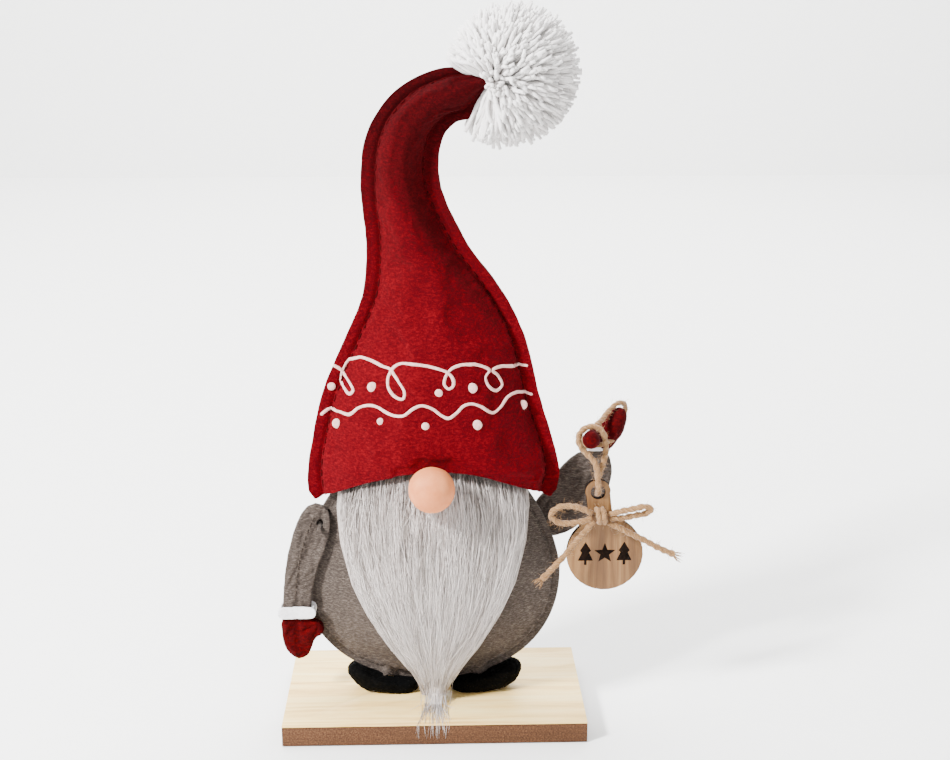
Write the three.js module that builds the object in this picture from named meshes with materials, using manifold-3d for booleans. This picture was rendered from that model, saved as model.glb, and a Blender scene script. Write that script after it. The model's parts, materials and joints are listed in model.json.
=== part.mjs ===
// Tomte gnome figurine: two stitched felt panels for the body, two for the hat, a fur beard,
// a yarn pom-pom, felt arms with mittens, and a wooden tag on twine, all standing on a base.
// Millimetres. +Z is up, the gnome faces -Y, +X is the side of its raised arm.
// The origin is the centre of the underside of the base.

import * as THREE from 'three';
import { mergeVertices } from 'three/addons/utils/BufferGeometryUtils.js';
import Module from 'manifold-3d';

const wasm = await Module();
wasm.setup();

// ---------------------------------------------------------------- driving dimensions

const GAP = 0.3;                 // clearance between pieces that touch
const FELT = 2;                  // thickness of the felt

const BASE_WIDTH = 140;
const BASE_DEPTH = 80;
const BASE_HEIGHT = 10;
const VENEER = 0.8;              // top sheet of the base

const LEG_X = 22;                // half the distance between the legs
const DOWEL_RADIUS = 3;
const DOWEL_TOP = 40;
const SCREW_RADIUS = 1.5;
const SCREW_HEAD_RADIUS = 3.6;
const SCREW_TOP = 24;

const BODY_X = -1.5;             // centre of the body's outline
const BODY_Z = 70;
const BODY_HALF_WIDTH = 61;
const BODY_DROP = 55;            // from the centre down to the lowest seam
const BODY_RISE = 72;            // from the centre up to the highest seam, inside the hat
const BODY_HALF_DEPTH = 20;
const BODY_FLANGE = 3;

const BRIM_ARCH = 21;            // rise of the brim from its corners to its middle
const BRIM_Z = 104;
const ARCH_FADES_OVER = 60;
const HAT_FLANGE = 7;            // flat margin outside the running stitch

const KNEE = new THREE.Vector3(-10.5, 0, 236);   // where the hat bends
const KNEE_RADIUS = 19.2;
const TIP_SWING = 20;            // degrees each way

const POMPOM = new THREE.Vector3(36.5, 0, 300);
const POMPOM_RADIUS = 28;

const NOSE = new THREE.Vector3(-0.7, -35.5, 121.5);
const NOSE_RADIUS = 10.3;

const BEARD_HINGE_Z = 108;
const BEARD_THICKNESS = 8;

const TAG_RADIUS = 17.8;
const TAG_THICKNESS = 3;
const TAG_HOLE_RADIUS = 3.4;
const TAG_HOLE = new THREE.Vector3(75.6, -12, 112);
const TAG_LEAN = 7;              // degrees to the right of plumb
const TAG_DROP = 30.4;           // from the hole to the middle of the disc
const TWINE = 3;                 // diameter of the jute twine

const THUMB_TIP = new THREE.Vector3(71.6, -15, 137.5);
const THUMB_ROOT = new THREE.Vector3(75.5, 10, 131);
const THUMB_RADIUS = 4;

// ---------------------------------------------------------------- materials

const material = (color, roughness, metalness = 0) =>
  new THREE.MeshStandardMaterial({ color, roughness, metalness });

const redFelt = material(0x9c1018, 0.95);
const greyFelt = material(0x8c7f74, 0.95);
const blackFelt = material(0x0d0d0e, 0.9);
const whiteFelt = material(0xeeebe8, 0.95);
const fur = material(0xd2cfce, 0.8);
const furBacking = material(0xc9c4be, 0.9);
const yarn = material(0xe9e7e4, 0.9);
const fibrefill = material(0xf2f0ea, 1);
const noseFinish = material(0xecbd9e, 0.6);
const baseTop = material(0xf2e6cb, 0.5);
const baseEdge = material(0x8f6a4c, 0.8);
const tagWood = material(0xcdaf86, 0.7);
const dowelWood = material(0xd9bd92, 0.7);
const jute = material(0xbfa273, 0.95);
const steel = material(0xb4b6b8, 0.35, 1);

// ---------------------------------------------------------------- solids

function toSolid(geometry) {
  const merged = geometry.clone();
  merged.deleteAttribute('normal');
  merged.deleteAttribute('uv');
  const welded = mergeVertices(merged, 1e-4);
  return new wasm.Manifold(new wasm.Mesh({
    numProp: 3,
    vertProperties: new Float32Array(welded.attributes.position.array),
    triVerts: new Uint32Array(welded.index.array),
  }));
}

function toGeometry(solid) {
  const mesh = solid.getMesh();
  const geometry = new THREE.BufferGeometry();
  geometry.setAttribute('position', new THREE.BufferAttribute(mesh.vertProperties, 3));
  geometry.setIndex(new THREE.BufferAttribute(mesh.triVerts, 1));
  return geometry;
}

function cut(geometry, ...tools) {
  let solid = toSolid(geometry);
  for (const tool of tools) solid = solid.subtract(toSolid(tool));
  return toGeometry(solid);
}

function keepInside(geometry, ...keepers) {
  let region = toSolid(keepers[0]);
  for (const keeper of keepers.slice(1)) region = region.add(toSolid(keeper));
  return toGeometry(toSolid(geometry).intersect(region));
}

// A closed solid between two grids of points. The near grid faces -Y, its rows run upwards and
// its columns run to +X. The far grid has the same rows and columns.
function solidBetween(near, far) {
  const columns = near[0].length;
  const rows = near.length;
  const offset = rows * columns;
  const index = [];
  const quad = (a, b, c, d) => index.push(a, b, c, a, c, d);
  for (let row = 0; row < rows - 1; row++) {
    for (let column = 0; column < columns - 1; column++) {
      const i = row * columns + column;
      quad(i, i + 1, i + columns + 1, i + columns);
      quad(offset + i, offset + i + columns, offset + i + columns + 1, offset + i + 1);
    }
  }
  const rim = [];
  for (let column = 0; column < columns - 1; column++) rim.push(column);
  for (let row = 0; row < rows - 1; row++) rim.push((row + 1) * columns - 1);
  for (let column = columns - 1; column > 0; column--) rim.push((rows - 1) * columns + column);
  for (let row = rows - 1; row > 0; row--) rim.push(row * columns);
  rim.forEach((here, k) => {
    const next = rim[(k + 1) % rim.length];
    quad(next, here, offset + here, offset + next);
  });
  const points = [...near.flat(), ...far.flat()].flatMap((p) => [p.x, p.y, p.z]);
  const geometry = new THREE.BufferGeometry();
  geometry.setAttribute('position', new THREE.Float32BufferAttribute(points, 3));
  geometry.setIndex(index);
  return geometry;
}

// A flat shape drawn in X and Z, from yNear back to yFar.
function plate(shape, yNear, yFar, curveSegments = 12) {
  const geometry = new THREE.ExtrudeGeometry(shape, {
    depth: yFar - yNear, bevelEnabled: false, curveSegments,
  });
  geometry.rotateX(Math.PI / 2);
  geometry.translate(0, yFar, 0);
  return geometry;
}

const outline = (pairs) => new THREE.Shape(pairs.map(([x, z]) => new THREE.Vector2(x, z)));

// A smooth closed outline through a few points.
function smoothOutline(pairs, points) {
  const curve = new THREE.CatmullRomCurve3(
    pairs.map(([x, z]) => new THREE.Vector3(x, 0, z)), true, 'centripetal');
  return new THREE.Shape(curve.getSpacedPoints(points).slice(0, -1)
    .map((p) => new THREE.Vector2(p.x, p.z)));
}

function rod(radius, from, to, sides = 16, endRadius = radius) {
  const axis = new THREE.Vector3().subVectors(to, from);
  const geometry = new THREE.CylinderGeometry(endRadius, radius, axis.length(), sides);
  const turn = new THREE.Quaternion().setFromUnitVectors(
    new THREE.Vector3(0, 1, 0), axis.clone().normalize());
  geometry.applyQuaternion(turn);
  const middle = new THREE.Vector3().addVectors(from, to).multiplyScalar(0.5);
  geometry.translate(middle.x, middle.y, middle.z);
  return geometry;
}

function ball(radius, centre, across, up) {
  const geometry = new THREE.SphereGeometry(radius, across, up);
  geometry.rotateX(Math.PI / 2);
  geometry.translate(centre.x, centre.y, centre.z);
  return geometry;
}

// A round cord along a smooth route.
function cord(points, diameter, steps, sides = 8) {
  const route = new THREE.CatmullRomCurve3(
    points.map(([x, y, z]) => new THREE.Vector3(x, y, z)), false, 'centripetal');
  const section = new THREE.Shape();
  for (let k = 0; k < sides; k++) {
    const angle = 2 * Math.PI * k / sides;
    const place = [diameter / 2 * Math.cos(angle), diameter / 2 * Math.sin(angle)];
    if (k === 0) section.moveTo(...place);
    else section.lineTo(...place);
  }
  section.closePath();
  return new THREE.ExtrudeGeometry(section, { extrudePath: route, steps, bevelEnabled: false });
}

const model = new THREE.Group();

function add(name, geometry, finish) {
  const mesh = new THREE.Mesh(geometry, finish);
  mesh.name = name;
  model.add(mesh);
}

const degrees = THREE.MathUtils.degToRad;
const SIDES = [['left', -1], ['right', 1]];

// ---------------------------------------------------------------- base, screws and dowels

function buildBase() {
  const veneerBottom = BASE_HEIGHT - VENEER;
  const rectangle = outline([
    [-BASE_WIDTH / 2, -BASE_DEPTH / 2], [BASE_WIDTH / 2, -BASE_DEPTH / 2],
    [BASE_WIDTH / 2, BASE_DEPTH / 2], [-BASE_WIDTH / 2, BASE_DEPTH / 2],
  ]);
  const slab = (bottom, top) => {
    const geometry = new THREE.ExtrudeGeometry(rectangle, { depth: top - bottom, bevelEnabled: false });
    geometry.translate(0, 0, bottom);
    return geometry;
  };
  const holes = SIDES.map(([, sign]) => rod(
    SCREW_RADIUS + GAP,
    new THREE.Vector3(sign * LEG_X, 0, -1), new THREE.Vector3(sign * LEG_X, 0, BASE_HEIGHT + 1)));
  const sinks = SIDES.map(([, sign]) => rod(
    SCREW_HEAD_RADIUS + 1,
    new THREE.Vector3(sign * LEG_X, 0, -1), new THREE.Vector3(sign * LEG_X, 0, 3.6), 20,
    SCREW_RADIUS));
  add('base_board', cut(slab(0, veneerBottom - GAP), ...holes, ...sinks), baseEdge);
  add('base_veneer', cut(slab(veneerBottom, BASE_HEIGHT), ...holes), baseTop);
}

function buildScrew(name, x) {
  const profile = [
    [0, 0.3], [SCREW_HEAD_RADIUS, 0.3], [SCREW_RADIUS, 2.6],
    [SCREW_RADIUS, SCREW_TOP - 3], [0, SCREW_TOP],
  ].map(([radius, height]) => new THREE.Vector2(radius, height));
  const geometry = new THREE.LatheGeometry(profile, 16);
  geometry.rotateX(Math.PI / 2);
  geometry.translate(x, 0, 0);
  add(name, geometry, steel);
}

function dowelTool(x, clearance = 0) {
  return rod(DOWEL_RADIUS + clearance,
    new THREE.Vector3(x, 0, BASE_HEIGHT + GAP), new THREE.Vector3(x, 0, DOWEL_TOP + clearance));
}

function buildDowel(name, x) {
  const pilot = rod(SCREW_RADIUS + GAP,
    new THREE.Vector3(x, 0, 0), new THREE.Vector3(x, 0, SCREW_TOP + GAP));
  add(name, cut(dowelTool(x), pilot), dowelWood);
}

// ---------------------------------------------------------------- body

const BODY_LOWER_POWER = 2.2;
const BODY_UPPER_POWER = 1.6;

function bodyHalfWidth(rise) {
  const power = rise < 0 ? BODY_LOWER_POWER : BODY_UPPER_POWER;
  const share = Math.min(1, Math.abs(rise) / (rise < 0 ? BODY_DROP : BODY_RISE));
  return BODY_HALF_WIDTH * (1 - share ** power) ** (1 / power);
}

// How far a point is from the middle of the body's outline: 0 in the middle, 1 at the edge.
function bodyShare(x, z) {
  const rise = z - BODY_Z;
  const power = rise < 0 ? BODY_LOWER_POWER : BODY_UPPER_POWER;
  const across = Math.abs(x - BODY_X) / BODY_HALF_WIDTH;
  const along = Math.abs(rise) / (rise < 0 ? BODY_DROP : BODY_RISE);
  return (across ** power + along ** power) ** (1 / power);
}

// Half the body's thickness at a point, felt included.
function bodyHalfDepth(x, z) {
  const share = bodyShare(x, z) / (1 - BODY_FLANGE / BODY_HALF_WIDTH);
  const seam = GAP / 2 + FELT;
  if (share >= 1) return seam;
  return seam + (BODY_HALF_DEPTH - seam) * (1 - share * share) ** 0.8;
}

const BODY_ROWS = 13;
const BODY_COLUMNS = 12;

function bodyGrid(depthAt, scale = 1) {
  const grid = [];
  for (let row = 0; row <= BODY_ROWS; row++) {
    const angle = degrees(-84 + 168 * row / BODY_ROWS);
    const rise = Math.sin(angle) * (angle < 0 ? BODY_DROP : BODY_RISE);
    const half = bodyHalfWidth(rise);
    const points = [];
    for (let column = 0; column <= BODY_COLUMNS; column++) {
      const x = BODY_X - scale * half * Math.cos(Math.PI * column / BODY_COLUMNS);
      const z = BODY_Z + scale * rise;
      points.push(new THREE.Vector3(x, depthAt(x, z), z));
    }
    grid.push(points);
  }
  return grid;
}

function bodyOutline(clearance) {
  const points = [];
  for (let k = 0; k < 40; k++) {
    const angle = 2 * Math.PI * k / 40;
    const power = Math.sin(angle) < 0 ? BODY_LOWER_POWER : BODY_UPPER_POWER;
    const rise = Math.sin(angle) < 0 ? BODY_DROP : BODY_RISE;
    const reach = (Math.abs(Math.cos(angle)) ** power + Math.abs(Math.sin(angle)) ** power) ** (-1 / power);
    points.push([
      BODY_X + (BODY_HALF_WIDTH + clearance) * reach * Math.cos(angle),
      BODY_Z + (rise + clearance) * reach * Math.sin(angle),
    ]);
  }
  return outline(points);
}

function buildBody() {
  const dowels = SIDES.map(([, sign]) => dowelTool(sign * LEG_X, GAP));
  const threads = [shoulderThread(LEFT_SHOULDER, -1, GAP), shoulderThread(RIGHT_SHOULDER, 1, GAP)];
  const outer = (x, z) => bodyHalfDepth(x, z);
  const inner = (x, z) => bodyHalfDepth(x, z) - FELT;
  const filling = (x, z) => bodyHalfDepth(x, z) - FELT - 3 * GAP;
  const grid = (depth, sign, scale) => bodyGrid((x, z) => sign * depth(x, z), scale);
  add('body_front_panel',
    cut(solidBetween(grid(outer, -1), grid(inner, -1)), ...dowels, ...threads), greyFelt);
  add('body_back_panel',
    cut(solidBetween(grid(inner, 1), grid(outer, 1)), ...dowels, ...threads), greyFelt);
  add('body_stuffing',
    cut(solidBetween(grid(filling, -1, 0.9), grid(filling, 1, 0.9)), ...dowels), fibrefill);
}

// ---------------------------------------------------------------- shoes

function buildShoe(name, sign) {
  const shoe = new THREE.SphereGeometry(1, 18, 10);
  shoe.rotateX(Math.PI / 2);
  shoe.scale(17, 9.5, 6.8);
  shoe.rotateY(-sign * degrees(12));
  shoe.translate(sign * 24.5, -2, 16.2);
  const floor = new THREE.BoxGeometry(60, 60, 20);
  floor.translate(sign * 24.5, 0, BASE_HEIGHT + GAP - 10);
  const body = plate(bodyOutline(2 * GAP), -30, 30);
  add(name, cut(shoe, floor, body, dowelTool(sign * LEG_X, GAP)), blackFelt);
}

// ---------------------------------------------------------------- hat

// Left edge and right edge of the felt, with half the hat's thickness between them.
const HAT_STATIONS = [
  { left: [-57, 104], right: [56.5, 104.2], depth: 24 },
  { left: [-57.6, 122], right: [58.3, 122], depth: 24 },
  { left: [-50.5, 156], right: [48.7, 156], depth: 21.5 },
  { left: [-40, 181], right: [42.3, 182], depth: 18.5 },
  { left: [-31.2, 202.5], right: [31.8, 203.5], depth: 16 },
  { left: [-29, 226], right: [16, 225.5], depth: 14 },
  { left: [-31, 252], right: [4.3, 251], depth: 12.5 },
  { left: [-27.5, 275], right: [4.6, 270], depth: 12 },
  { left: [-15, 292.5], right: [10.5, 278.5], depth: 11 },
  { left: [3, 301.5], right: [18.5, 281.5], depth: 10 },
  { left: [21, 302], right: [26, 292.5], depth: 7 },
];
const HAT_ROWS = 20;
const HAT_COLUMNS = 12;

const hatEdge = (side) => new THREE.CatmullRomCurve3(
  HAT_STATIONS.map((station) => new THREE.Vector3(station[side][0], station.depth, station[side][1])));
const hatLeft = hatEdge('left');
const hatRight = hatEdge('right');

function brimRise(height) {
  return BRIM_ARCH * Math.max(0, 1 - height / ARCH_FADES_OVER) ** 1.5;
}

function hatPoint(row, column) {
  const left = hatLeft.getPoint(row / HAT_ROWS);
  const right = hatRight.getPoint(row / HAT_ROWS);
  const width = left.distanceTo(right);
  const flange = Math.min(HAT_FLANGE, 0.2 * width) / width;
  const inner = (column - 1) / (HAT_COLUMNS - 2);
  let across = flange + (1 - 2 * flange) * (1 - Math.cos(Math.PI * inner)) / 2;
  if (column === 0) across = 0;
  if (column === HAT_COLUMNS) across = 1;
  const place = new THREE.Vector3().lerpVectors(left, right, across);
  const share = Math.min(1, Math.abs(2 * across - 1) / (1 - 2 * flange));
  const seam = GAP / 2 + FELT;
  const depth = seam + (place.y - seam) * (1 - share * share) ** 0.6;
  place.z += brimRise(left.z - BRIM_Z) * (1 - (2 * across - 1) ** 2);
  return { place, depth: share >= 1 - 1e-9 ? seam : depth };
}

function hatGrid(sign, inset, firstRow = 0, margin = 0, lastRow = HAT_ROWS) {
  const grid = [];
  for (let row = firstRow; row <= lastRow; row++) {
    const points = [];
    for (let column = margin; column <= HAT_COLUMNS - margin; column++) {
      const { place, depth } = hatPoint(row, column);
      points.push(new THREE.Vector3(place.x, sign * (depth - inset), place.z));
    }
    grid.push(points);
  }
  return grid;
}

// Everything below the bend, less the round seat that the tip turns in.
function belowKnee(geometry) {
  const slope = Math.tan(degrees(TIP_SWING + 3));
  const reach = 80;
  const region = plate(outline([
    [KNEE.x - reach, 90], [KNEE.x + reach, 90],
    [KNEE.x + reach, KNEE.z - slope * reach], [KNEE.x, KNEE.z], [KNEE.x - reach, KNEE.z - slope * reach],
  ]), -40, 40);
  return cut(keepInside(geometry, region), kneeDisc(KNEE_RADIUS + GAP));
}

function kneeDisc(radius) {
  return rod(radius,
    new THREE.Vector3(KNEE.x, -41, KNEE.z), new THREE.Vector3(KNEE.x, 41, KNEE.z), 36);
}

function aboveKnee(geometry) {
  const region = plate(outline([
    [KNEE.x - 60, KNEE.z], [KNEE.x + 80, KNEE.z], [KNEE.x + 80, KNEE.z + 90], [KNEE.x - 60, KNEE.z + 90],
  ]), -40, 40);
  return keepInside(geometry, region, kneeDisc(KNEE_RADIUS));
}

const TIP_WIRE = [[-10.5, 0, 226], [-12, 0, 245], [-11, 0, 262], [-5, 0, 277], [4, 0, 287], [17, 0, 293]];

function buildHat() {
  const noseRoom = ball(NOSE_RADIUS + 2 * GAP, NOSE, 18, 12);
  const front = solidBetween(hatGrid(-1, 0), hatGrid(-1, FELT));
  const back = solidBetween(hatGrid(1, FELT), hatGrid(1, 0));
  const inset = FELT + 2 * GAP;
  const filling = solidBetween(hatGrid(-1, inset, 4, 2, HAT_ROWS - 1), hatGrid(1, inset, 4, 2, HAT_ROWS - 1));
  add('hat_front_panel', cut(belowKnee(front), noseRoom), redFelt);
  add('hat_back_panel', belowKnee(back), redFelt);
  add('hat_stuffing', belowKnee(filling), fibrefill);
  add('hat_tip_front_panel', aboveKnee(front), redFelt);
  add('hat_tip_back_panel', aboveKnee(back), redFelt);
  add('hat_tip_stuffing', cut(aboveKnee(filling), cord([...TIP_WIRE, [32, 0, 299]], 2.6, 18)), fibrefill);
  add('hat_tip_wire', cord(TIP_WIRE, 1.6, 16), steel);
}

// ---------------------------------------------------------------- pom-pom

const TIE_START = new THREE.Vector3(27.5, 0, 297.6);

function buildPompom() {
  const slot = smoothOutline([
    [-8, 306], [10, 309.5], [24, 308], [30, 299], [29.5, 288], [20, 274], [2, 272], [-8, 285],
  ], 24);
  const tieRoom = rod(2.8, TIE_START, POMPOM, 14);
  add('pompom', cut(ball(POMPOM_RADIUS, POMPOM, 20, 14), plate(slot, -12, 12), tieRoom), yarn);
  const tieEnd = new THREE.Vector3().lerpVectors(TIE_START, POMPOM, 0.9);
  add('pompom_tie', rod(2.4, TIE_START, tieEnd, 14), yarn);
}

// ---------------------------------------------------------------- beard and nose

function brimHeight(x) {
  const across = (x + 57) / 113.5;
  return BRIM_Z + BRIM_ARCH * (1 - (2 * across - 1) ** 2);
}

const BEARD_EDGE = new THREE.CatmullRomCurve3([
  [1, 10.4], [9, 25], [21.5, 40], [32, 55], [39, 70], [44, 89], [45.5, 104], [44, 114],
].map(([half, z]) => new THREE.Vector3(half, 0, z)));

function beardHalfWidth(z) {
  let low = 0;
  let high = 1;
  for (let k = 0; k < 24; k++) {
    const middle = (low + high) / 2;
    if (BEARD_EDGE.getPoint(middle).z < z) low = middle;
    else high = middle;
  }
  return BEARD_EDGE.getPoint(low).x;
}

const BACKING = 1.2;

// The beard lies on the body and, below it, hangs free down to the base.
function beardBack(x, z) {
  const onBody = bodyHalfDepth(x, z) + BACKING + 5 * GAP;
  const hanging = 17 - 3 * Math.max(0, 40 - z) / 30;
  return -Math.max(onBody, z < 50 ? hanging : 0);
}

function beardFront(x, z, half) {
  const edge = Math.min(1, Math.abs(x) / half);
  const plump = 0.25 + 0.75 * Math.sqrt(1 - edge * edge);
  const taper = z > 40 ? 1 : 0.45 + 0.55 * (z - 10) / 30;
  return beardBack(x, z) - BEARD_THICKNESS * plump * taper;
}

function beardSolid(rows) {
  const columns = 12;
  const near = [];
  const far = [];
  for (const z of rows) {
    const half = beardHalfWidth(Math.min(z, 113));
    const nearRow = [];
    const farRow = [];
    for (let column = 0; column <= columns; column++) {
      const x = half * Math.sin(Math.PI * (column / columns - 0.5));
      nearRow.push(new THREE.Vector3(x, beardFront(x, z, half), z));
      farRow.push(new THREE.Vector3(x, beardBack(x, z), z));
    }
    near.push(nearRow);
    far.push(farRow);
  }
  return solidBetween(near, far);
}

function buildBeard() {
  const noseRoom = ball(NOSE_RADIUS + 2 * GAP, NOSE, 18, 12);
  const backingRows = [50, 62, 74, 86, 98, 107.4];
  const backing = (depth) => backingRows.map((z) => {
    const half = beardHalfWidth(z) - 10;
    return [-1, -0.83, -0.66, -0.5, -0.25, 0, 0.25, 0.5, 0.66, 0.83, 1].map((share) => {
      const x = half * share;
      return new THREE.Vector3(x, -(bodyHalfDepth(x, z) + 2 * GAP + depth), z);
    });
  });
  add('beard_backing', solidBetween(backing(BACKING), backing(0)), furBacking);

  const crownRows = 3;
  const crownTop = (x) => brimHeight(x) - 2 * GAP;
  const crown = [];
  const crownFar = [];
  for (let row = 0; row <= crownRows; row++) {
    const near = [];
    const far = [];
    for (let column = 0; column <= 14; column++) {
      const x = 42 * Math.sin(Math.PI * (column / 14 - 0.5));
      const bottom = BEARD_HINGE_Z + GAP;
      const height = bottom + (crownTop(x) - bottom) * row / crownRows;
      near.push(new THREE.Vector3(x, beardFront(x, height, 46), height));
      far.push(new THREE.Vector3(x, beardBack(x, height), height));
    }
    crown.push(near);
    crownFar.push(far);
  }
  add('beard_crown', cut(solidBetween(crown, crownFar), noseRoom), fur);

  const rows = [10.4, 16, 22, 28, 34, 40, 48, 56, 64, 72, 80, 88, 96, 103, BEARD_HINGE_Z];
  const slope = new THREE.Shape([[-21, 108], [-21, 140], [-60, 140], [-60, 88]]
    .map(([y, z]) => new THREE.Vector2(y, z)));
  const wedge = new THREE.ExtrudeGeometry(slope, { depth: 140, bevelEnabled: false });
  wedge.applyMatrix4(new THREE.Matrix4().set(
    0, 0, 1, -70,
    1, 0, 0, 0,
    0, 1, 0, 0,
    0, 0, 0, 1));
  add('beard_fur', cut(beardSolid(rows), wedge, noseRoom), fur);
  add('nose', ball(NOSE_RADIUS, NOSE, 18, 12), noseFinish);
}

// ---------------------------------------------------------------- arms

const LEFT_SHOULDER = new THREE.Vector3(-52.5, -11, 94.5);
const RIGHT_SHOULDER = new THREE.Vector3(50, 9, 91);
const SLEEVE = 4.5;
const CUFF = 1.8;                // how far the cuff stands out from the sleeve
const LEFT_SLEEVE_Y = -13.2;
const RIGHT_SLEEVE_Y = 7;

// The knotted thread that sews a sleeve to the body, and that the arm turns on.
function shoulderThread(shoulder, sign, clearance = 0) {
  const knot = shoulder.y + sign * 3.4;
  const root = sign * 0.6;
  return rod(1.2 + clearance,
    new THREE.Vector3(shoulder.x, root, shoulder.z), new THREE.Vector3(shoulder.x, knot, shoulder.z), 12);
}

function armWire(points, diameter) {
  return cord(points, diameter, 8);
}

function buildLeftArm() {
  const sleeve = smoothOutline([
    [-58.6, 101], [-62, 96.6], [-64.7, 91.5], [-67.6, 82], [-69.7, 69.6], [-70.6, 58], [-70.4, 51.5],
    [-58.8, 51.5], [-57.4, 58], [-55.8, 68], [-53.2, 77], [-50.2, 85], [-48.2, 91], [-47.9, 98],
    [-51, 101.8], [-54.8, 102.6],
  ], 30);
  const wire = [
    [-55.5, -11, 88], [-59.5, -11, 80], [-63, -11, 68], [-64.2, -11, 54], [-64.2, -11, 37],
  ];
  const wireRoom = armWire(wire, 2.2);
  const thread = shoulderThread(LEFT_SHOULDER, -1, GAP);
  const sleeveSolid = plate(sleeve, LEFT_SLEEVE_Y, LEFT_SLEEVE_Y + SLEEVE);
  add('left_sleeve', cut(sleeveSolid, wireRoom, thread), greyFelt);
  add('left_arm_wire', armWire(wire, 1.6), steel);

  const cuff = new THREE.Shape();
  cuff.absarc(-70.2, 53.1, 3, Math.PI / 2, 3 * Math.PI / 2);
  cuff.absarc(-58.2, 53.1, 3, -Math.PI / 2, Math.PI / 2);
  const sleeveRoom = plate(
    outline([[-71.3, 47], [-58, 47], [-56.6, 59], [-71.3, 59]]),
    LEFT_SLEEVE_Y - GAP, LEFT_SLEEVE_Y + SLEEVE + GAP);
  const cuffSolid = plate(cuff, LEFT_SLEEVE_Y - CUFF, LEFT_SLEEVE_Y + SLEEVE + CUFF);
  add('left_cuff', cut(cuffSolid, sleeveRoom), whiteFelt);

  const mitten = smoothOutline([
    [-71.4, 48.6], [-71.7, 44], [-70.8, 37], [-68.2, 31.8], [-64, 29.2], [-59.6, 31.2], [-57.4, 36.4],
    [-56, 39.8], [-53.6, 40.8], [-51.8, 43.6], [-53.6, 46.8], [-57.4, 48.6],
  ], 26);
  add('left_mitten', cut(plate(mitten, LEFT_SLEEVE_Y - 1.2, LEFT_SLEEVE_Y + SLEEVE + 1.2), wireRoom), redFelt);
}

function buildRightArm() {
  const sleeve = smoothOutline([
    [47.5, 98], [53.5, 106], [59, 115], [66.6, 122.6], [71, 124.6], [81.5, 124.4], [84.3, 118], [84, 110],
    [79.5, 99], [72, 90.5], [62, 84], [51.5, 83], [45.8, 90],
  ], 30);
  const y = RIGHT_SLEEVE_Y + SLEEVE / 2;
  const wire = [[62, y, 95], [70, y, 103], [75.5, y, 113], [76.5, y, 124], [78.5, y, 134]];
  const wireRoom = armWire(wire, 2.2);
  const thread = shoulderThread(RIGHT_SHOULDER, 1, GAP);
  add('right_sleeve',
    cut(plate(sleeve, RIGHT_SLEEVE_Y, RIGHT_SLEEVE_Y + SLEEVE), wireRoom, thread), greyFelt);
  add('right_arm_wire', armWire(wire, 1.6), steel);

  const cuff = outline([[68.2, 126], [83.2, 125.6], [83.4, 128.4], [69.6, 129.4]]);
  add('right_cuff',
    cut(plate(cuff, RIGHT_SLEEVE_Y - CUFF, RIGHT_SLEEVE_Y + SLEEVE + CUFF), wireRoom), whiteFelt);

  // The mitten is turned edge-on, so its thumb points forwards.
  const hand = new THREE.SphereGeometry(1, 14, 10);
  hand.rotateX(Math.PI / 2);
  hand.scale(4.6, 9, 12);
  hand.rotateY(degrees(22));
  hand.translate(81.5, 9.5, 136.5);
  const wrist = rod(5.4, new THREE.Vector3(76.6, 9, 129.8), new THREE.Vector3(80, 9, 137), 12, 4);
  const thumb = rod(THUMB_RADIUS, THUMB_TIP, THUMB_ROOT, 12);
  const thumbEnd = ball(THUMB_RADIUS, THUMB_TIP, 12, 8);
  const cuffTop = plate(outline([[60, 110], [95, 110], [95, 128.6], [60, 130]]), -30, 30);
  const mitten = toSolid(hand).add(toSolid(wrist)).add(toSolid(thumb)).add(toSolid(thumbEnd))
    .subtract(toSolid(cuffTop)).subtract(toSolid(wireRoom));
  add('right_mitten', toGeometry(mitten), redFelt);
}

function buildShoulderThreads() {
  add('left_shoulder_thread', shoulderThread(LEFT_SHOULDER, -1), jute);
  add('right_shoulder_thread', shoulderThread(RIGHT_SHOULDER, 1), jute);
}

// ---------------------------------------------------------------- twine, tag and bow

const LOOP_SEAT_Y = -8;          // where the loop sits along the thumb

// A point on the thumb's axis at a given depth.
function thumbAt(y) {
  const share = (y - THUMB_ROOT.y) / (THUMB_TIP.y - THUMB_ROOT.y);
  return new THREE.Vector3().lerpVectors(THUMB_ROOT, THUMB_TIP, share);
}

function buildTagLoop() {
  const seat = thumbAt(LOOP_SEAT_Y);
  const reach = THUMB_RADIUS + TWINE / 2 + 2 * GAP;
  const points = [[TAG_HOLE.x + 0.4, TAG_HOLE.y + 4.4, TAG_HOLE.z + 3]];
  points.push([seat.x + reach + 0.6, LOOP_SEAT_Y + 0.4, seat.z - 6]);
  for (const angle of [0, 45, 90, 135, 180, 225]) {
    const turn = degrees(angle);
    points.push([seat.x + reach * Math.cos(turn), LOOP_SEAT_Y, seat.z + reach * Math.sin(turn)]);
  }
  points.push([seat.x + 1.5, LOOP_SEAT_Y - 3, seat.z - reach - 4.5]);
  points.push([TAG_HOLE.x - 0.4, TAG_HOLE.y - 3.4, TAG_HOLE.z + 6]);
  points.push([TAG_HOLE.x, TAG_HOLE.y - 3.1, TAG_HOLE.z + 1]);
  points.push([TAG_HOLE.x, TAG_HOLE.y, TAG_HOLE.z - 1.2]);
  points.push([TAG_HOLE.x + 0.3, TAG_HOLE.y + 3.4, TAG_HOLE.z - 0.6]);
  add('tag_loop', cord(points, TWINE - 0.4, 34), jute);
}

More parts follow.
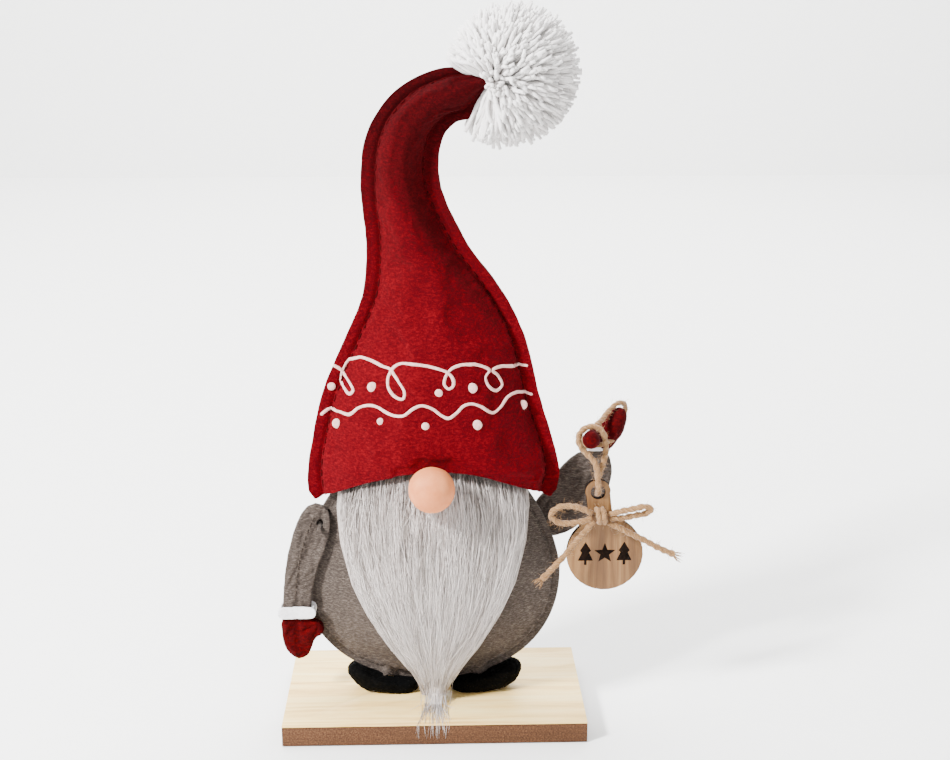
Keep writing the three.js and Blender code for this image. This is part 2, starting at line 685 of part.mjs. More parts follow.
function buildTag() {
  const disc = new THREE.Shape();
  const tabHalf = 5.5;
  const meet = Math.asin(tabHalf / TAG_RADIUS);
  disc.absarc(0, 0, TAG_RADIUS, Math.PI / 2 + meet, Math.PI * 5 / 2 - meet);
  disc.lineTo(tabHalf, TAG_DROP - 1);
  disc.absarc(0, TAG_DROP, tabHalf + 0.4, 0, Math.PI);
  disc.lineTo(-tabHalf, TAG_DROP - 1);
  const hole = new THREE.Path();
  hole.absarc(0, TAG_DROP, TAG_HOLE_RADIUS, 0, 2 * Math.PI);
  disc.holes.push(hole);
  const geometry = plate(disc, -TAG_THICKNESS / 2, TAG_THICKNESS / 2, 14);
  geometry.translate(0, 0, -TAG_DROP);
  geometry.rotateY(-degrees(TAG_LEAN));
  geometry.translate(TAG_HOLE.x, TAG_HOLE.y, TAG_HOLE.z);
  add('tag', geometry, tagWood);
}

const KNOT = new THREE.Vector3(76.6, -17.6, 102);

function buildBow() {
  const knot = new THREE.SphereGeometry(1, 12, 8);
  knot.scale(5, 3.4, 3.6);
  knot.translate(KNOT.x, KNOT.y, KNOT.z);
  add('bow_knot', knot, jute);
  const y = KNOT.y;
  add('bow_loop_left', cord([
    [71.2, y, 103.4], [64, y - 0.5, 106.6], [57, y - 0.5, 106.4], [53.6, y - 0.6, 102.6],
    [56.5, y - 0.8, 99.2], [64, y - 0.6, 99], [71.2, y, 100.2],
  ], TWINE - 0.4, 18), jute);
  add('bow_loop_right', cord([
    [82, y, 103], [90, y - 0.6, 105.2], [98, y - 0.6, 106.6], [101.6, y - 0.4, 104],
    [98, y - 0.2, 101], [90, y, 100.4], [82, y, 100.2],
  ], TWINE - 0.4, 18), jute);
  add('bow_tail_left', cord([
    [72, y, 98], [68.5, y - 1.5, 93.8], [63.5, y - 3.5, 89], [56.5, y - 6, 81.6], [48.8, y - 8, 73.9],
  ], TWINE - 0.4, 10), jute);
  add('bow_tail_right', cord([
    [81.4, y, 97.6], [87, y - 0.8, 95], [95.5, y - 1, 90.8], [104, y - 1, 86.2], [111.4, y - 0.6, 82.6],
  ], TWINE - 0.4, 10), jute);
}

buildBase();
for (const [side, sign] of SIDES) {
  buildScrew(`screw_${side}`, sign * LEG_X);
  buildDowel(`leg_dowel_${side}`, sign * LEG_X);
  buildShoe(`shoe_${side}`, sign);
}
buildBody();
buildHat();
buildPompom();
buildBeard();
buildShoulderThreads();
buildLeftArm();
buildRightArm();
buildTagLoop();
buildTag();
buildBow();

export default model;
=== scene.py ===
"""A tomte gnome in craft felt: bent hat with puff-print garland, yarn pom-pom, fur beard, wooden tag."""

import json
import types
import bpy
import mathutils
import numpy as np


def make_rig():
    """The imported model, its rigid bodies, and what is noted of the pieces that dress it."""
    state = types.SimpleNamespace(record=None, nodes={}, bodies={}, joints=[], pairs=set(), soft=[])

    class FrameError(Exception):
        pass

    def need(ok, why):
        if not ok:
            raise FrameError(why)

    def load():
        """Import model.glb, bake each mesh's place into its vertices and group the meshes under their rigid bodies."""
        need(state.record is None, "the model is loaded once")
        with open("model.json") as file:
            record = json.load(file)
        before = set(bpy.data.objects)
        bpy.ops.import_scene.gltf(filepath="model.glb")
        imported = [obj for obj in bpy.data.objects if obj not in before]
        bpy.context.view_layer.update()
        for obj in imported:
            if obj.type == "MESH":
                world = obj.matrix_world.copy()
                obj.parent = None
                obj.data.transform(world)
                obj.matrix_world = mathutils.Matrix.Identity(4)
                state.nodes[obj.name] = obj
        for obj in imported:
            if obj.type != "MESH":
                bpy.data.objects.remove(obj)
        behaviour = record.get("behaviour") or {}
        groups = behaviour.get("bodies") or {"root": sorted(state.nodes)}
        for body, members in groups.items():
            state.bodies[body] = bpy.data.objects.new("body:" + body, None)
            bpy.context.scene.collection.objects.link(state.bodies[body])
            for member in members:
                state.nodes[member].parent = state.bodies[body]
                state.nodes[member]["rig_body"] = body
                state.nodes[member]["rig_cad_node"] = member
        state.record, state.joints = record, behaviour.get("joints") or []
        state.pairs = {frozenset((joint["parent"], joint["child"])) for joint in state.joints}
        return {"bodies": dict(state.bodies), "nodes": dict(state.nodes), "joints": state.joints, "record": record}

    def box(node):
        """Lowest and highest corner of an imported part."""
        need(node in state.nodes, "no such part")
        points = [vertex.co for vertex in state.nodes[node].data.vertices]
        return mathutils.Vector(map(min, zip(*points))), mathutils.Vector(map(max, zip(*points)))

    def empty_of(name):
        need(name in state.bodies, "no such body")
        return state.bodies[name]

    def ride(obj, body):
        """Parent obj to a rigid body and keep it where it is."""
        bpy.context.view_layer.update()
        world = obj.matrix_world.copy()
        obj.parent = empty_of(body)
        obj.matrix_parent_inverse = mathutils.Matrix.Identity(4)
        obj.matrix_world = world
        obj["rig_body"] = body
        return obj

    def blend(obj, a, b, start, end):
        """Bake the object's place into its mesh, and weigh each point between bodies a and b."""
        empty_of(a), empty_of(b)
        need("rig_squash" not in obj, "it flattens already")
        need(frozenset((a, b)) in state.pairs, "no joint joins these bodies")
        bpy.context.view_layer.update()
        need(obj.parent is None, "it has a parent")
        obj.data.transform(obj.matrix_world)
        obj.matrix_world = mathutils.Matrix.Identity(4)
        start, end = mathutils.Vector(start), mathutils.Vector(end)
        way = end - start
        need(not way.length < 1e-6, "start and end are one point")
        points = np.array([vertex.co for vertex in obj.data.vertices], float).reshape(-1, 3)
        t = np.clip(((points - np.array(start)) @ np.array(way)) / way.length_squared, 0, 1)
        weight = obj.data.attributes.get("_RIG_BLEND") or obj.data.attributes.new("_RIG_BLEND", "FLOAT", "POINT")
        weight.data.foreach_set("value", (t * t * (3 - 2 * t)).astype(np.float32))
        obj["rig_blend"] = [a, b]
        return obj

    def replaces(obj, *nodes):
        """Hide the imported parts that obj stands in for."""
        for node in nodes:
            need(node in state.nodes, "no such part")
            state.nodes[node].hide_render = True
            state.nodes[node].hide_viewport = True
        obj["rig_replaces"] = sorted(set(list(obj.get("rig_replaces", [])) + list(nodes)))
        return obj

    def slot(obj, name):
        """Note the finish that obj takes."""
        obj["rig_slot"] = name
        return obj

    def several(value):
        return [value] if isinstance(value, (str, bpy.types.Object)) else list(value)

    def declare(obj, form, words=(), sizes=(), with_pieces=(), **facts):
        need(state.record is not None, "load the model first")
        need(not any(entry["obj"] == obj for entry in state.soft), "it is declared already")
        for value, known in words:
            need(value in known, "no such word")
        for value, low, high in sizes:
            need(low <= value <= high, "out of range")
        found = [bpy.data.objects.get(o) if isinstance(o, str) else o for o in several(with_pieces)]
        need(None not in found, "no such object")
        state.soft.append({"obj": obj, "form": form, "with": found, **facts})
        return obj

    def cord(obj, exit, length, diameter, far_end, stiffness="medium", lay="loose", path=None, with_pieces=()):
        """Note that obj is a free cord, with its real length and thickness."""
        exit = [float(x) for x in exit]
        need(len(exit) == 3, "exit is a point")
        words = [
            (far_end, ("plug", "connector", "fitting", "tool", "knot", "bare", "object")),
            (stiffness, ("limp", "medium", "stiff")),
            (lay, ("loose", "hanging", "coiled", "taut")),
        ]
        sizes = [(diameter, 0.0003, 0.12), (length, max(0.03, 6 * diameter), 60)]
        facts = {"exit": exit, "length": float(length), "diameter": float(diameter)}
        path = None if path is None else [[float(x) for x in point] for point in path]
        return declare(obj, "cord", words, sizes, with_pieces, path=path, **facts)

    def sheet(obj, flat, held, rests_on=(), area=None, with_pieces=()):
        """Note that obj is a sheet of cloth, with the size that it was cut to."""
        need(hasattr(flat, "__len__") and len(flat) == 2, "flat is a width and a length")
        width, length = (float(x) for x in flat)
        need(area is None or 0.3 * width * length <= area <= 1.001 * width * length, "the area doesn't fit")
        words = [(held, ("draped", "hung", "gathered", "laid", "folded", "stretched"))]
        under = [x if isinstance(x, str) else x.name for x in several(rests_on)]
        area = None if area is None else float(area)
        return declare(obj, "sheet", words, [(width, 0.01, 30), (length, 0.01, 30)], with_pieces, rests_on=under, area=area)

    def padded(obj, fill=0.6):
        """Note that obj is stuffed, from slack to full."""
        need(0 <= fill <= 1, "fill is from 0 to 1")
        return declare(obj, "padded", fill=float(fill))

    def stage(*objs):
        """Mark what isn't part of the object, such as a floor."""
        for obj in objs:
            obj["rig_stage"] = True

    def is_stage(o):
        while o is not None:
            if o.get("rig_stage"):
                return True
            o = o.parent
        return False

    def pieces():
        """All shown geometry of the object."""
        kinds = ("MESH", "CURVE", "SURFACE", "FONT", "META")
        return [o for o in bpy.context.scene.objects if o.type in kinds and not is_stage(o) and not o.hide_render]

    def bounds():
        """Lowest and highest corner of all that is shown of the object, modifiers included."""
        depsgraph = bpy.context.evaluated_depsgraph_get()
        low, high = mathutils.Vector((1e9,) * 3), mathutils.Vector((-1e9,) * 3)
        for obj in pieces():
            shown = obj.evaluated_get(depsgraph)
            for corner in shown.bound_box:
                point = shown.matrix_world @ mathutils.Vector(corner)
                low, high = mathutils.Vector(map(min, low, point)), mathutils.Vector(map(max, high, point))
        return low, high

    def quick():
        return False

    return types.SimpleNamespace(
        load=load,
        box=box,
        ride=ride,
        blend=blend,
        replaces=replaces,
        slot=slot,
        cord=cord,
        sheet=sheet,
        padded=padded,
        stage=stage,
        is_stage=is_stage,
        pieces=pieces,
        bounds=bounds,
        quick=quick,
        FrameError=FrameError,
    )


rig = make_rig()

bl_info = {
    "name": "Felt tomte",
    "version": (1, 0, 0),
    "blender": (4, 5, 0),
    "location": "3D View > Sidebar > Tomte",
    "description": "Dresses the figure's frame in felt, fur, yarn, jute and wood",
    "category": "Object",
}

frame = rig.load()

import json
import math
import random

import bpy
import numpy as np
from bpy.props import FloatProperty, FloatVectorProperty, IntProperty, PointerProperty
from mathutils import Vector, noise
from mathutils.bvhtree import BVHTree

CAD_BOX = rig.bounds()
MM = 0.001
SEAM = 2.15                      # half the thickness of the two felt layers at a seam
FELT = 1.8

# ------------------------------------------------------------------ working with objects


def deselect():
    for each in bpy.context.selected_objects:
        each.select_set(False)


def activate(obj):
    deselect()
    obj.select_set(True)
    bpy.context.view_layer.objects.active = obj


def modify(obj, kind, **settings):
    """Adds a modifier, gives it its settings and applies it."""
    activate(obj)
    modifier = obj.modifiers.new(kind.lower(), kind)
    for name, value in settings.items():
        setattr(modifier, name, value)
    bpy.ops.object.modifier_apply(modifier=modifier.name)
    return obj


def smooth(obj, angle=50):
    activate(obj)
    bpy.ops.object.shade_smooth_by_angle(angle=math.radians(angle))


def settle(obj, name):
    """Puts a new object's place into its mesh and names it."""
    activate(obj)
    bpy.ops.object.transform_apply(location=True, rotation=True, scale=True)
    obj.name = name
    obj.data.name = name
    return obj


def coordinates(obj):
    flat = np.empty(len(obj.data.vertices) * 3)
    obj.data.vertices.foreach_get("co", flat)
    return flat.reshape(-1, 3)


def place(obj, points):
    obj.data.vertices.foreach_set("co", np.asarray(points, dtype=float).ravel())
    obj.data.update()


def outward(obj):
    activate(obj)
    bpy.ops.object.mode_set(mode="EDIT")
    bpy.ops.mesh.select_all(action="SELECT")
    bpy.ops.mesh.remove_doubles(threshold=1e-6)
    bpy.ops.mesh.normals_make_consistent(inside=False)
    bpy.ops.object.mode_set(mode="OBJECT")


def sheet_of(name, columns, rows, shape):
    """A grid whose points are put at shape(u, v), in millimetres; u runs across and v runs up."""
    deselect()
    bpy.ops.mesh.primitive_grid_add(x_subdivisions=columns, y_subdivisions=rows, size=1)
    obj = bpy.context.active_object
    start = coordinates(obj) + 0.5
    place(obj, [Vector(shape(u, v)) * MM for u, v, _ in start])
    return settle(obj, name)


def mesh_object(name, points, faces, values=None):
    """A mesh from points in millimetres. values gives each corner's UV by its point."""
    mesh = bpy.data.meshes.new(name)
    mesh.from_pydata((np.asarray(points) * MM).tolist(), [], faces)
    if values is not None:
        layer = mesh.uv_layers.new(name="strand")
        corners = np.empty(len(mesh.loops), dtype=np.int64)
        mesh.loops.foreach_get("vertex_index", corners)
        layer.data.foreach_set("uv", np.asarray(values)[corners].ravel())
    mesh.update()
    obj = bpy.data.objects.new(name, mesh)
    bpy.context.scene.collection.objects.link(obj)
    mesh.polygons.foreach_set("use_smooth", [True] * len(mesh.polygons))
    return obj


def copy_of(name, *nodes):
    """One merged copy of CAD nodes, to be worked further."""
    copies = []
    for node in nodes:
        source = frame["nodes"][node]
        copy = source.copy()
        copy.data = source.data.copy()
        copy.data.materials.clear()
        for key in list(copy.keys()):
            del copy[key]
        bpy.context.scene.collection.objects.link(copy)
        copies.append(copy)
    deselect()
    for copy in copies:
        copy.hide_render = False
        copy.select_set(True)
    bpy.context.view_layer.objects.active = copies[0]
    if len(copies) > 1:
        bpy.ops.object.join()
    obj = bpy.context.view_layer.objects.active
    obj.parent = None
    obj.name = name
    obj.data.name = name
    outward(obj)
    return obj


def finish(obj, body, look, *nodes, slot=None):
    """Gives a piece its finish, its body, its slot and the nodes that it replaces.

    The slot has the finish's own name if no other is given.
    """
    obj.data.materials.clear()
    obj.data.materials.append(finish_named(look))
    if isinstance(body, str):
        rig.ride(obj, body)
    else:
        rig.blend(obj, body[0], body[1], start=body[2], end=body[3])
    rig.slot(obj, slot or look)
    if nodes:
        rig.replaces(obj, *nodes)
    return obj


# ------------------------------------------------------------------ strands, yarn and twine


def frames_along(lines):
    """Unit tangents and two normals for lines of points, shaped (lines, points, 3)."""
    tangent = np.gradient(lines, axis=1)
    tangent /= np.linalg.norm(tangent, axis=2, keepdims=True) + 1e-12
    aside = np.zeros_like(tangent)
    aside[..., 1] = 1.0
    flat = np.abs(tangent[..., 1]) > 0.9
    aside[flat] = (1.0, 0.0, 0.0)
    normal = np.cross(tangent, aside)
    normal /= np.linalg.norm(normal, axis=2, keepdims=True) + 1e-12
    return tangent, normal, np.cross(tangent, normal)


def strands(name, lines, radii, sides, tints, twist=0.0):
    """Many thin closed tubes in one mesh. UV: u is the strand's own tint, v runs along it."""
    lines = np.asarray(lines, dtype=float)
    count, steps, _ = lines.shape
    _, normal, other = frames_along(lines)
    angle = 2 * math.pi * np.arange(sides) / sides
    turn = angle[None, None, :] + twist * np.arange(steps)[None, :, None]
    ring = (normal[:, :, None, :] * np.cos(turn)[..., None]
            + other[:, :, None, :] * np.sin(turn)[..., None])
    points = lines[:, :, None, :] + ring * np.asarray(radii)[:, :, None, None]
    index = np.arange(count * steps * sides).reshape(count, steps, sides)
    here, after = index[:, :-1, :], index[:, 1:, :]
    quads = np.stack([here, np.roll(here, -1, 2), np.roll(after, -1, 2), after], axis=-1)
    faces = quads.reshape(-1, 4).tolist()
    faces += index[:, 0, ::-1].tolist()
    faces += index[:, -1, :].tolist()
    values = np.empty((count, steps, sides, 2))
    values[..., 0] = np.asarray(tints)[:, None, None]
    values[..., 1] = (np.arange(steps) / (steps - 1))[None, :, None]
    return mesh_object(name, points.reshape(-1, 3), faces, values.reshape(-1, 2))


def smooth_route(points, step):
    """Points a step apart on a smooth curve through the given ones (Catmull-Rom, centripetal)."""
    points = np.asarray(points, dtype=float)
    ends = [2 * points[0] - points[1], *points, 2 * points[-1] - points[-2]]
    fine = []
    for a, b, c, d in zip(ends, ends[1:], ends[2:], ends[3:]):
        knots = [0.0]
        for first, second in ((a, b), (b, c), (c, d)):
            knots.append(knots[-1] + np.linalg.norm(second - first) ** 0.5)
        for t in np.linspace(knots[1], knots[2], 24, endpoint=False):
            mix = lambda p, q, low, high: ((high - t) * p + (t - low) * q) / (high - low)
            ab, bc, cd = mix(a, b, knots[0], knots[1]), mix(b, c, knots[1], knots[2]), mix(c, d, knots[2], knots[3])
            fine.append(mix(mix(ab, bc, knots[0], knots[2]), mix(bc, cd, knots[1], knots[3]), knots[1], knots[2]))
    fine.append(points[-1])
    fine = np.array(fine)
    run = np.concatenate([[0], np.cumsum(np.linalg.norm(np.diff(fine, axis=0), axis=1))])
    even = np.linspace(0, run[-1], max(8, int(run[-1] / step) + 1))
    return np.stack([np.interp(even, run, fine[:, k]) for k in range(3)], axis=1), run[-1]


def carried_frames(route):
    """Normals carried along one route without twisting."""
    tangent = np.gradient(route, axis=0)
    tangent /= np.linalg.norm(tangent, axis=1, keepdims=True)
    start = np.cross(tangent[0], (0.3, 0.9, 0.2))
    normals = [start / np.linalg.norm(start)]
    for direction in tangent[1:]:
        normal = normals[-1] - direction * np.dot(normals[-1], direction)
        normals.append(normal / np.linalg.norm(normal))
    normals = np.array(normals)
    return normals, np.cross(tangent, normals)


PLIES = 2


def twine(name, points, diameter, lay_length=7.5, sides=12, step=0.55, frayed=0):
    """A laid twine: the plies show as ridges that wind round it.

    Gives the mesh, with the route and its length in metres.
    """
    route, length = smooth_route(points, step)
    normal, other = carried_frames(route)
    run = np.linspace(0, length, len(route))
    angle = 2 * math.pi * np.arange(sides) / sides
    wind = angle[None, :] - 2 * math.pi * run[:, None] / lay_length
    radius = diameter / 2 * (0.70 + 0.32 * np.abs(np.cos(PLIES / 2 * wind)))
    rough = np.array([[noise.noise(Vector((a * 1.7, b * 0.9, diameter))) for a in range(sides)]
                      for b in range(len(route))])
    radius = radius * (1 + 0.14 * rough)
    if frayed:
        radius[-frayed:] *= np.linspace(1, 1.25, frayed)[:, None]
    radius[0] *= 0.8
    radius[-1] *= 0.8
    ring = normal[:, None, :] * np.cos(angle)[None, :, None] + other[:, None, :] * np.sin(angle)[None, :, None]
    tube = route[:, None, :] + ring * radius[..., None]
    index = np.arange(len(route) * sides).reshape(len(route), sides)
    here, after = index[:-1], index[1:]
    faces = np.stack([here, np.roll(here, -1, 1), np.roll(after, -1, 1), after], axis=-1).reshape(-1, 4).tolist()
    faces.append(index[0, ::-1].tolist())
    faces.append(index[-1].tolist())
    values = np.empty((len(route), sides, 2))
    values[..., 0] = PLIES * wind / (2 * math.pi)
    values[..., 1] = run[:, None] / 10
    obj = mesh_object(name, tube.reshape(-1, 3), faces, values.reshape(-1, 2))
    outward(obj)
    return obj, route * MM, length * MM


def stray_fibres(name, route, spread, per_mm, reach, seed):
    """Short loose fibres that stand out of twine."""
    draw = random.Random(seed)
    lines = []
    for _ in range(int(per_mm * len(route) * 0.55)):
        k = draw.randrange(2, len(route) - 2)
        along = (route[k + 1] - route[k - 1])
        along = along / np.linalg.norm(along)
        out = np.array([draw.gauss(0, 1) for _ in range(3)])
        out -= along * np.dot(out, along)
        out /= np.linalg.norm(out)
        start = route[k] / MM + out * spread * 0.7
        lean = along * draw.uniform(-1, 1)
        size = draw.uniform(0.4, 1) * reach
        lines.append([start + (out * t + lean * t * t) * size for t in (0, 0.35, 0.7, 1)])
    radii = np.tile([0.07, 0.07, 0.056, 0.028], (len(lines), 1))
    return strands(name, lines, radii, 3, [draw.random() for _ in lines])


# ------------------------------------------------------------------ materials


class Finish:
    """A node material under construction."""

    def __init__(self, name, roughness, sheen=0.0, specular=0.5, metallic=0.0):
        self.material = bpy.data.materials.new(name)
        self.material.use_nodes = True
        self.tree = self.material.node_tree
        self.shader = self.tree.nodes["Principled BSDF"]
        self.shader.inputs["Roughness"].default_value = roughness
        self.shader.inputs["Specular IOR Level"].default_value = specular
        self.shader.inputs["Metallic"].default_value = metallic
        if sheen:
            self.shader.inputs["Sheen Weight"].default_value = sheen
            self.shader.inputs["Sheen Roughness"].default_value = 0.45
        self.source = self.node("ShaderNodeTexCoord")

    def node(self, kind, **settings):
        made = self.tree.nodes.new(kind)
        for key, value in settings.items():
            if key in made.inputs:
                made.inputs[key].default_value = value
            else:
                setattr(made, key, value)
        return made

    def link(self, output, target):
        self.tree.links.new(output, target)

    def mapped(self, scale, output="Object"):
        mapping = self.node("ShaderNodeMapping")
        mapping.inputs["Scale"].default_value = scale
        self.link(self.source.outputs[output], mapping.inputs["Vector"])
        return mapping.outputs["Vector"]

    def part(self, axis, output="UV"):
        """One of the texture coordinates X, Y and Z."""
        split = self.node("ShaderNodeSeparateXYZ")
        self.link(self.source.outputs[output], split.inputs["Vector"])
        return split.outputs[axis]

    def noise(self, vector, scale, detail=4.0, rough=0.6, distortion=0.0):
        made = self.node("ShaderNodeTexNoise")
        made.inputs["Scale"].default_value = scale
        made.inputs["Detail"].default_value = detail
        made.inputs["Roughness"].default_value = rough
        made.inputs["Distortion"].default_value = distortion
        self.link(vector, made.inputs["Vector"])
        return made.outputs["Fac"]

    def ramp(self, value, *stops):
        made = self.node("ShaderNodeValToRGB")
        while len(made.color_ramp.elements) < len(stops):
            made.color_ramp.elements.new(0.5)
        for element, (position, colour) in zip(made.color_ramp.elements, stops):
            element.position = position
            element.color = (*colour, 1)
        self.link(value, made.inputs["Fac"])
        return made.outputs["Color"]

    def mix(self, kind, amount, first, second):
        made = self.node("ShaderNodeMix", data_type="RGBA", blend_type=kind)
        if isinstance(amount, float):
            made.inputs[0].default_value = amount
        else:
            self.link(amount, made.inputs[0])
        for socket, value in ((made.inputs[6], first), (made.inputs[7], second)):
            if isinstance(value, tuple):
                socket.default_value = (*value, 1)
            else:
                self.link(value, socket)
        return made.outputs[2]

    def bump(self, height, strength, distance):
        made = self.node("ShaderNodeBump")
        made.inputs["Strength"].default_value = strength
        made.inputs["Distance"].default_value = distance
        self.link(height, made.inputs["Height"])
        if self.shader.inputs["Normal"].is_linked:
            self.link(self.shader.inputs["Normal"].links[0].from_socket, made.inputs["Normal"])
        self.link(made.outputs["Normal"], self.shader.inputs["Normal"])

    def colour(self, output):
        self.link(output, self.shader.inputs["Base Color"])

    def roughness(self, output):
        self.link(output, self.shader.inputs["Roughness"])


def srgb(*values):
    """Screen colour, 0 to 255, as the linear numbers that shaders take."""
    return tuple((v / 255 / 12.92) if v <= 10 else ((v / 255 + 0.055) / 1.055) ** 2.4 for v in values)


def felt(name, dark, middle, light, sheen=0.25, streak=1.0, shaded_to_tip=False):
    """Pressed wool: short fibres in every direction with paler flecks, and a soft nap.

    If set, the colour darkens with height from the hat's neck up to its tip: painted shade.
    """
    made = Finish(name, 0.95, sheen=sheen, specular=0.06)
    fibres = made.noise(made.mapped((0.8, 0.8, streak)), 760, detail=5, rough=0.7, distortion=0.4)
    flecks = made.noise(made.mapped((0.6, 0.6, 1.5 * streak)), 900, detail=4, rough=0.7)
    clouds = made.noise(made.mapped((1, 1, 1)), 55, detail=3, rough=0.5)
    colour = made.ramp(fibres, (0.36, dark), (0.5, middle), (0.66, light))
    pale = made.ramp(flecks, (0.55, (0, 0, 0)), (0.78, (1, 1, 1)))
    colour = made.mix("MIX", 0.5, colour, made.mix("MIX", pale, middle, light))
    tone = made.ramp(clouds, (0.3, (0.82, 0.82, 0.82)), (0.7, (1.1, 1.1, 1.1)))
    colour = made.mix("MULTIPLY", 0.8, colour, tone)
    if shaded_to_tip:
        # painted shade: the red darkens with height from the neck up to the hat's tip
        tip_shade = made.ramp(made.part("Z", "Object"),
                        (0.18, (1, 1, 1)), (0.235, (0.74, 0.66, 0.7)), (0.285, (0.36, 0.3, 0.33)))
        colour = made.mix("MULTIPLY", 1.0, colour, tip_shade)
    made.colour(colour)
    made.bump(fibres, 0.55, 0.0006)
    made.bump(flecks, 0.35, 0.0003)
    return made.material


def fur_finish(name, root, middle, tip):
    """Glossy straight fibre: each strand has its own tint, and darkens towards its root."""
    made = Finish(name, 0.42, sheen=0.15, specular=0.4)
    along = made.ramp(made.part("Y"), (0.0, root), (0.25, middle), (1.0, tip))
    own = made.ramp(made.part("X"), (0.0, (0.4, 0.37, 0.34)), (0.4, (0.84, 0.82, 0.8)), (1.0, (1.12, 1.12, 1.12)))
    made.colour(made.mix("MULTIPLY", 0.85, along, own))
    made.shader.inputs["Anisotropic"].default_value = 0.4
    return made.material


def yarn_finish(name, dark, light):
    """Soft two-ply yarn: the plies wind round the strand, with a hairy surface."""
    made = Finish(name, 0.9, sheen=0.4, specular=0.15)
    hair = made.noise(made.mapped((1, 1, 1)), 900, detail=4, rough=0.7)
    own = made.ramp(made.part("X"), (0.0, dark), (1.0, light))
    made.colour(made.mix("MULTIPLY", 0.35, own, made.ramp(hair, (0.3, (0.6, 0.6, 0.6)), (0.7, (1, 1, 1)))))
    made.bump(hair, 0.5, 0.0006)
    return made.material


def jute_finish(name, dark, middle, light):
    """Coarse bast fibre: tan, with darker and paler fibres along the plies."""
    made = Finish(name, 0.9, sheen=0.2, specular=0.2)
    lay = made.noise(made.mapped((14, 3, 1), "UV"), 1.4, detail=5, rough=0.75)
    grain = made.noise(made.mapped((1, 1, 1)), 1400, detail=3)
    colour = made.ramp(lay, (0.3, dark), (0.5, middle), (0.72, light))
    made.colour(made.mix("MULTIPLY", 0.4, colour, made.ramp(grain, (0.3, (0.55, 0.5, 0.45)), (0.65, (1, 1, 1)))))
    made.bump(lay, 0.6, 0.0005)
    return made.material


def wood_finish(name, dark, middle, light, stretch, scale, roughness=0.5):
    """Straight-grained wood or wood print: long streaks with fine pores."""
    made = Finish(name, roughness, specular=0.4)
    grain = made.noise(made.mapped(stretch), scale, detail=7, rough=0.62, distortion=0.8)
    pore = made.noise(made.mapped(tuple(4 * s for s in stretch)), scale * 3, detail=3, rough=0.7)
    colour = made.ramp(grain, (0.3, dark), (0.5, middle), (0.7, light))
    shade = made.ramp(pore, (0.34, (0.72, 0.68, 0.62)), (0.5, (1, 1, 1)))
    made.colour(made.mix("MULTIPLY", 0.25, colour, shade))
    made.roughness(made.ramp(grain, (0.3, (roughness + 0.1,) * 3), (0.7, (roughness - 0.08,) * 3)))
    made.bump(pore, 0.25, 0.0002)
    return made.material


def board_finish(name):
    """Sawn fibreboard edge: brown, with a fine speckle and faint saw marks."""
    made = Finish(name, 0.85, specular=0.2)
    speckle = made.noise(made.mapped((1, 1, 1)), 1300, detail=4, rough=0.7)
    layers = made.noise(made.mapped((0.25, 0.25, 5)), 110, detail=3)
    patches = made.noise(made.mapped((1, 1, 1)), 35, detail=2)
    colour = made.ramp(speckle, (0.3, srgb(48, 30, 18)), (0.52, srgb(84, 55, 35)), (0.75, srgb(120, 84, 57)))
    shade = made.ramp(layers, (0.35, (0.8, 0.78, 0.76)), (0.65, (1.05, 1.03, 1.0)))
    colour = made.mix("MULTIPLY", 0.7, colour, shade)
    wear = made.ramp(patches, (0.3, (0.8, 0.8, 0.8)), (0.7, (1.08, 1.05, 1.02)))
    made.colour(made.mix("MULTIPLY", 0.5, colour, wear))
    made.bump(speckle, 0.5, 0.0004)
    return made.material


def metal_finish(name):
    """Zinc-plated steel with fine turning marks."""
    made = Finish(name, 0.35, metallic=1.0)
    marks = made.noise(made.mapped((1, 1, 12)), 500, detail=4)
    made.colour(made.ramp(marks, (0.35, srgb(150, 152, 155)), (0.65, srgb(200, 202, 204))))
    made.roughness(made.ramp(marks, (0.3, (0.28,) * 3), (0.7, (0.45,) * 3)))
    made.bump(marks, 0.15, 0.0001)
    return made.material


def nose_finish(name):
    """Skin-toned paint on a turned ball, slightly blotchy, with a dull shine."""
    made = Finish(name, 0.6, specular=0.2)
    blotch = made.noise(made.mapped((1, 1, 1)), 120, detail=3)
    brush = made.noise(made.mapped((1, 1, 2.5)), 800, detail=3)
    made.colour(made.ramp(blotch, (0.3, srgb(192, 110, 62)), (0.7, srgb(208, 132, 84))))
    made.roughness(made.ramp(brush, (0.3, (0.52,) * 3), (0.7, (0.66,) * 3)))
    made.bump(brush, 0.12, 0.0002)
    made.shader.inputs["Subsurface Weight"].default_value = 0.12
    made.shader.inputs["Subsurface Radius"].default_value = (0.004, 0.002, 0.001)
    return made.material


def fluff_finish(name):
    """Loose fibre filling: soft lumps."""
    made = Finish(name, 1.0, sheen=0.5, specular=0.1)
    lumps = made.noise(made.mapped((1, 1, 1)), 260, detail=5, rough=0.7)
    made.colour(made.ramp(lumps, (0.3, srgb(205, 202, 194)), (0.7, srgb(246, 244, 238))))
    made.bump(lumps, 0.7, 0.001)
    return made.material


def paint_finish(name):
    """Pale puffed fabric paint: matt, with a fine bubbly skin."""
    made = Finish(name, 0.75, specular=0.25)
    skin = made.noise(made.mapped((1, 1, 1)), 700, detail=4)
    made.colour(made.ramp(skin, (0.3, srgb(190, 140, 130)), (0.7, srgb(228, 188, 178))))
    made.bump(skin, 0.4, 0.0003)
    return made.material


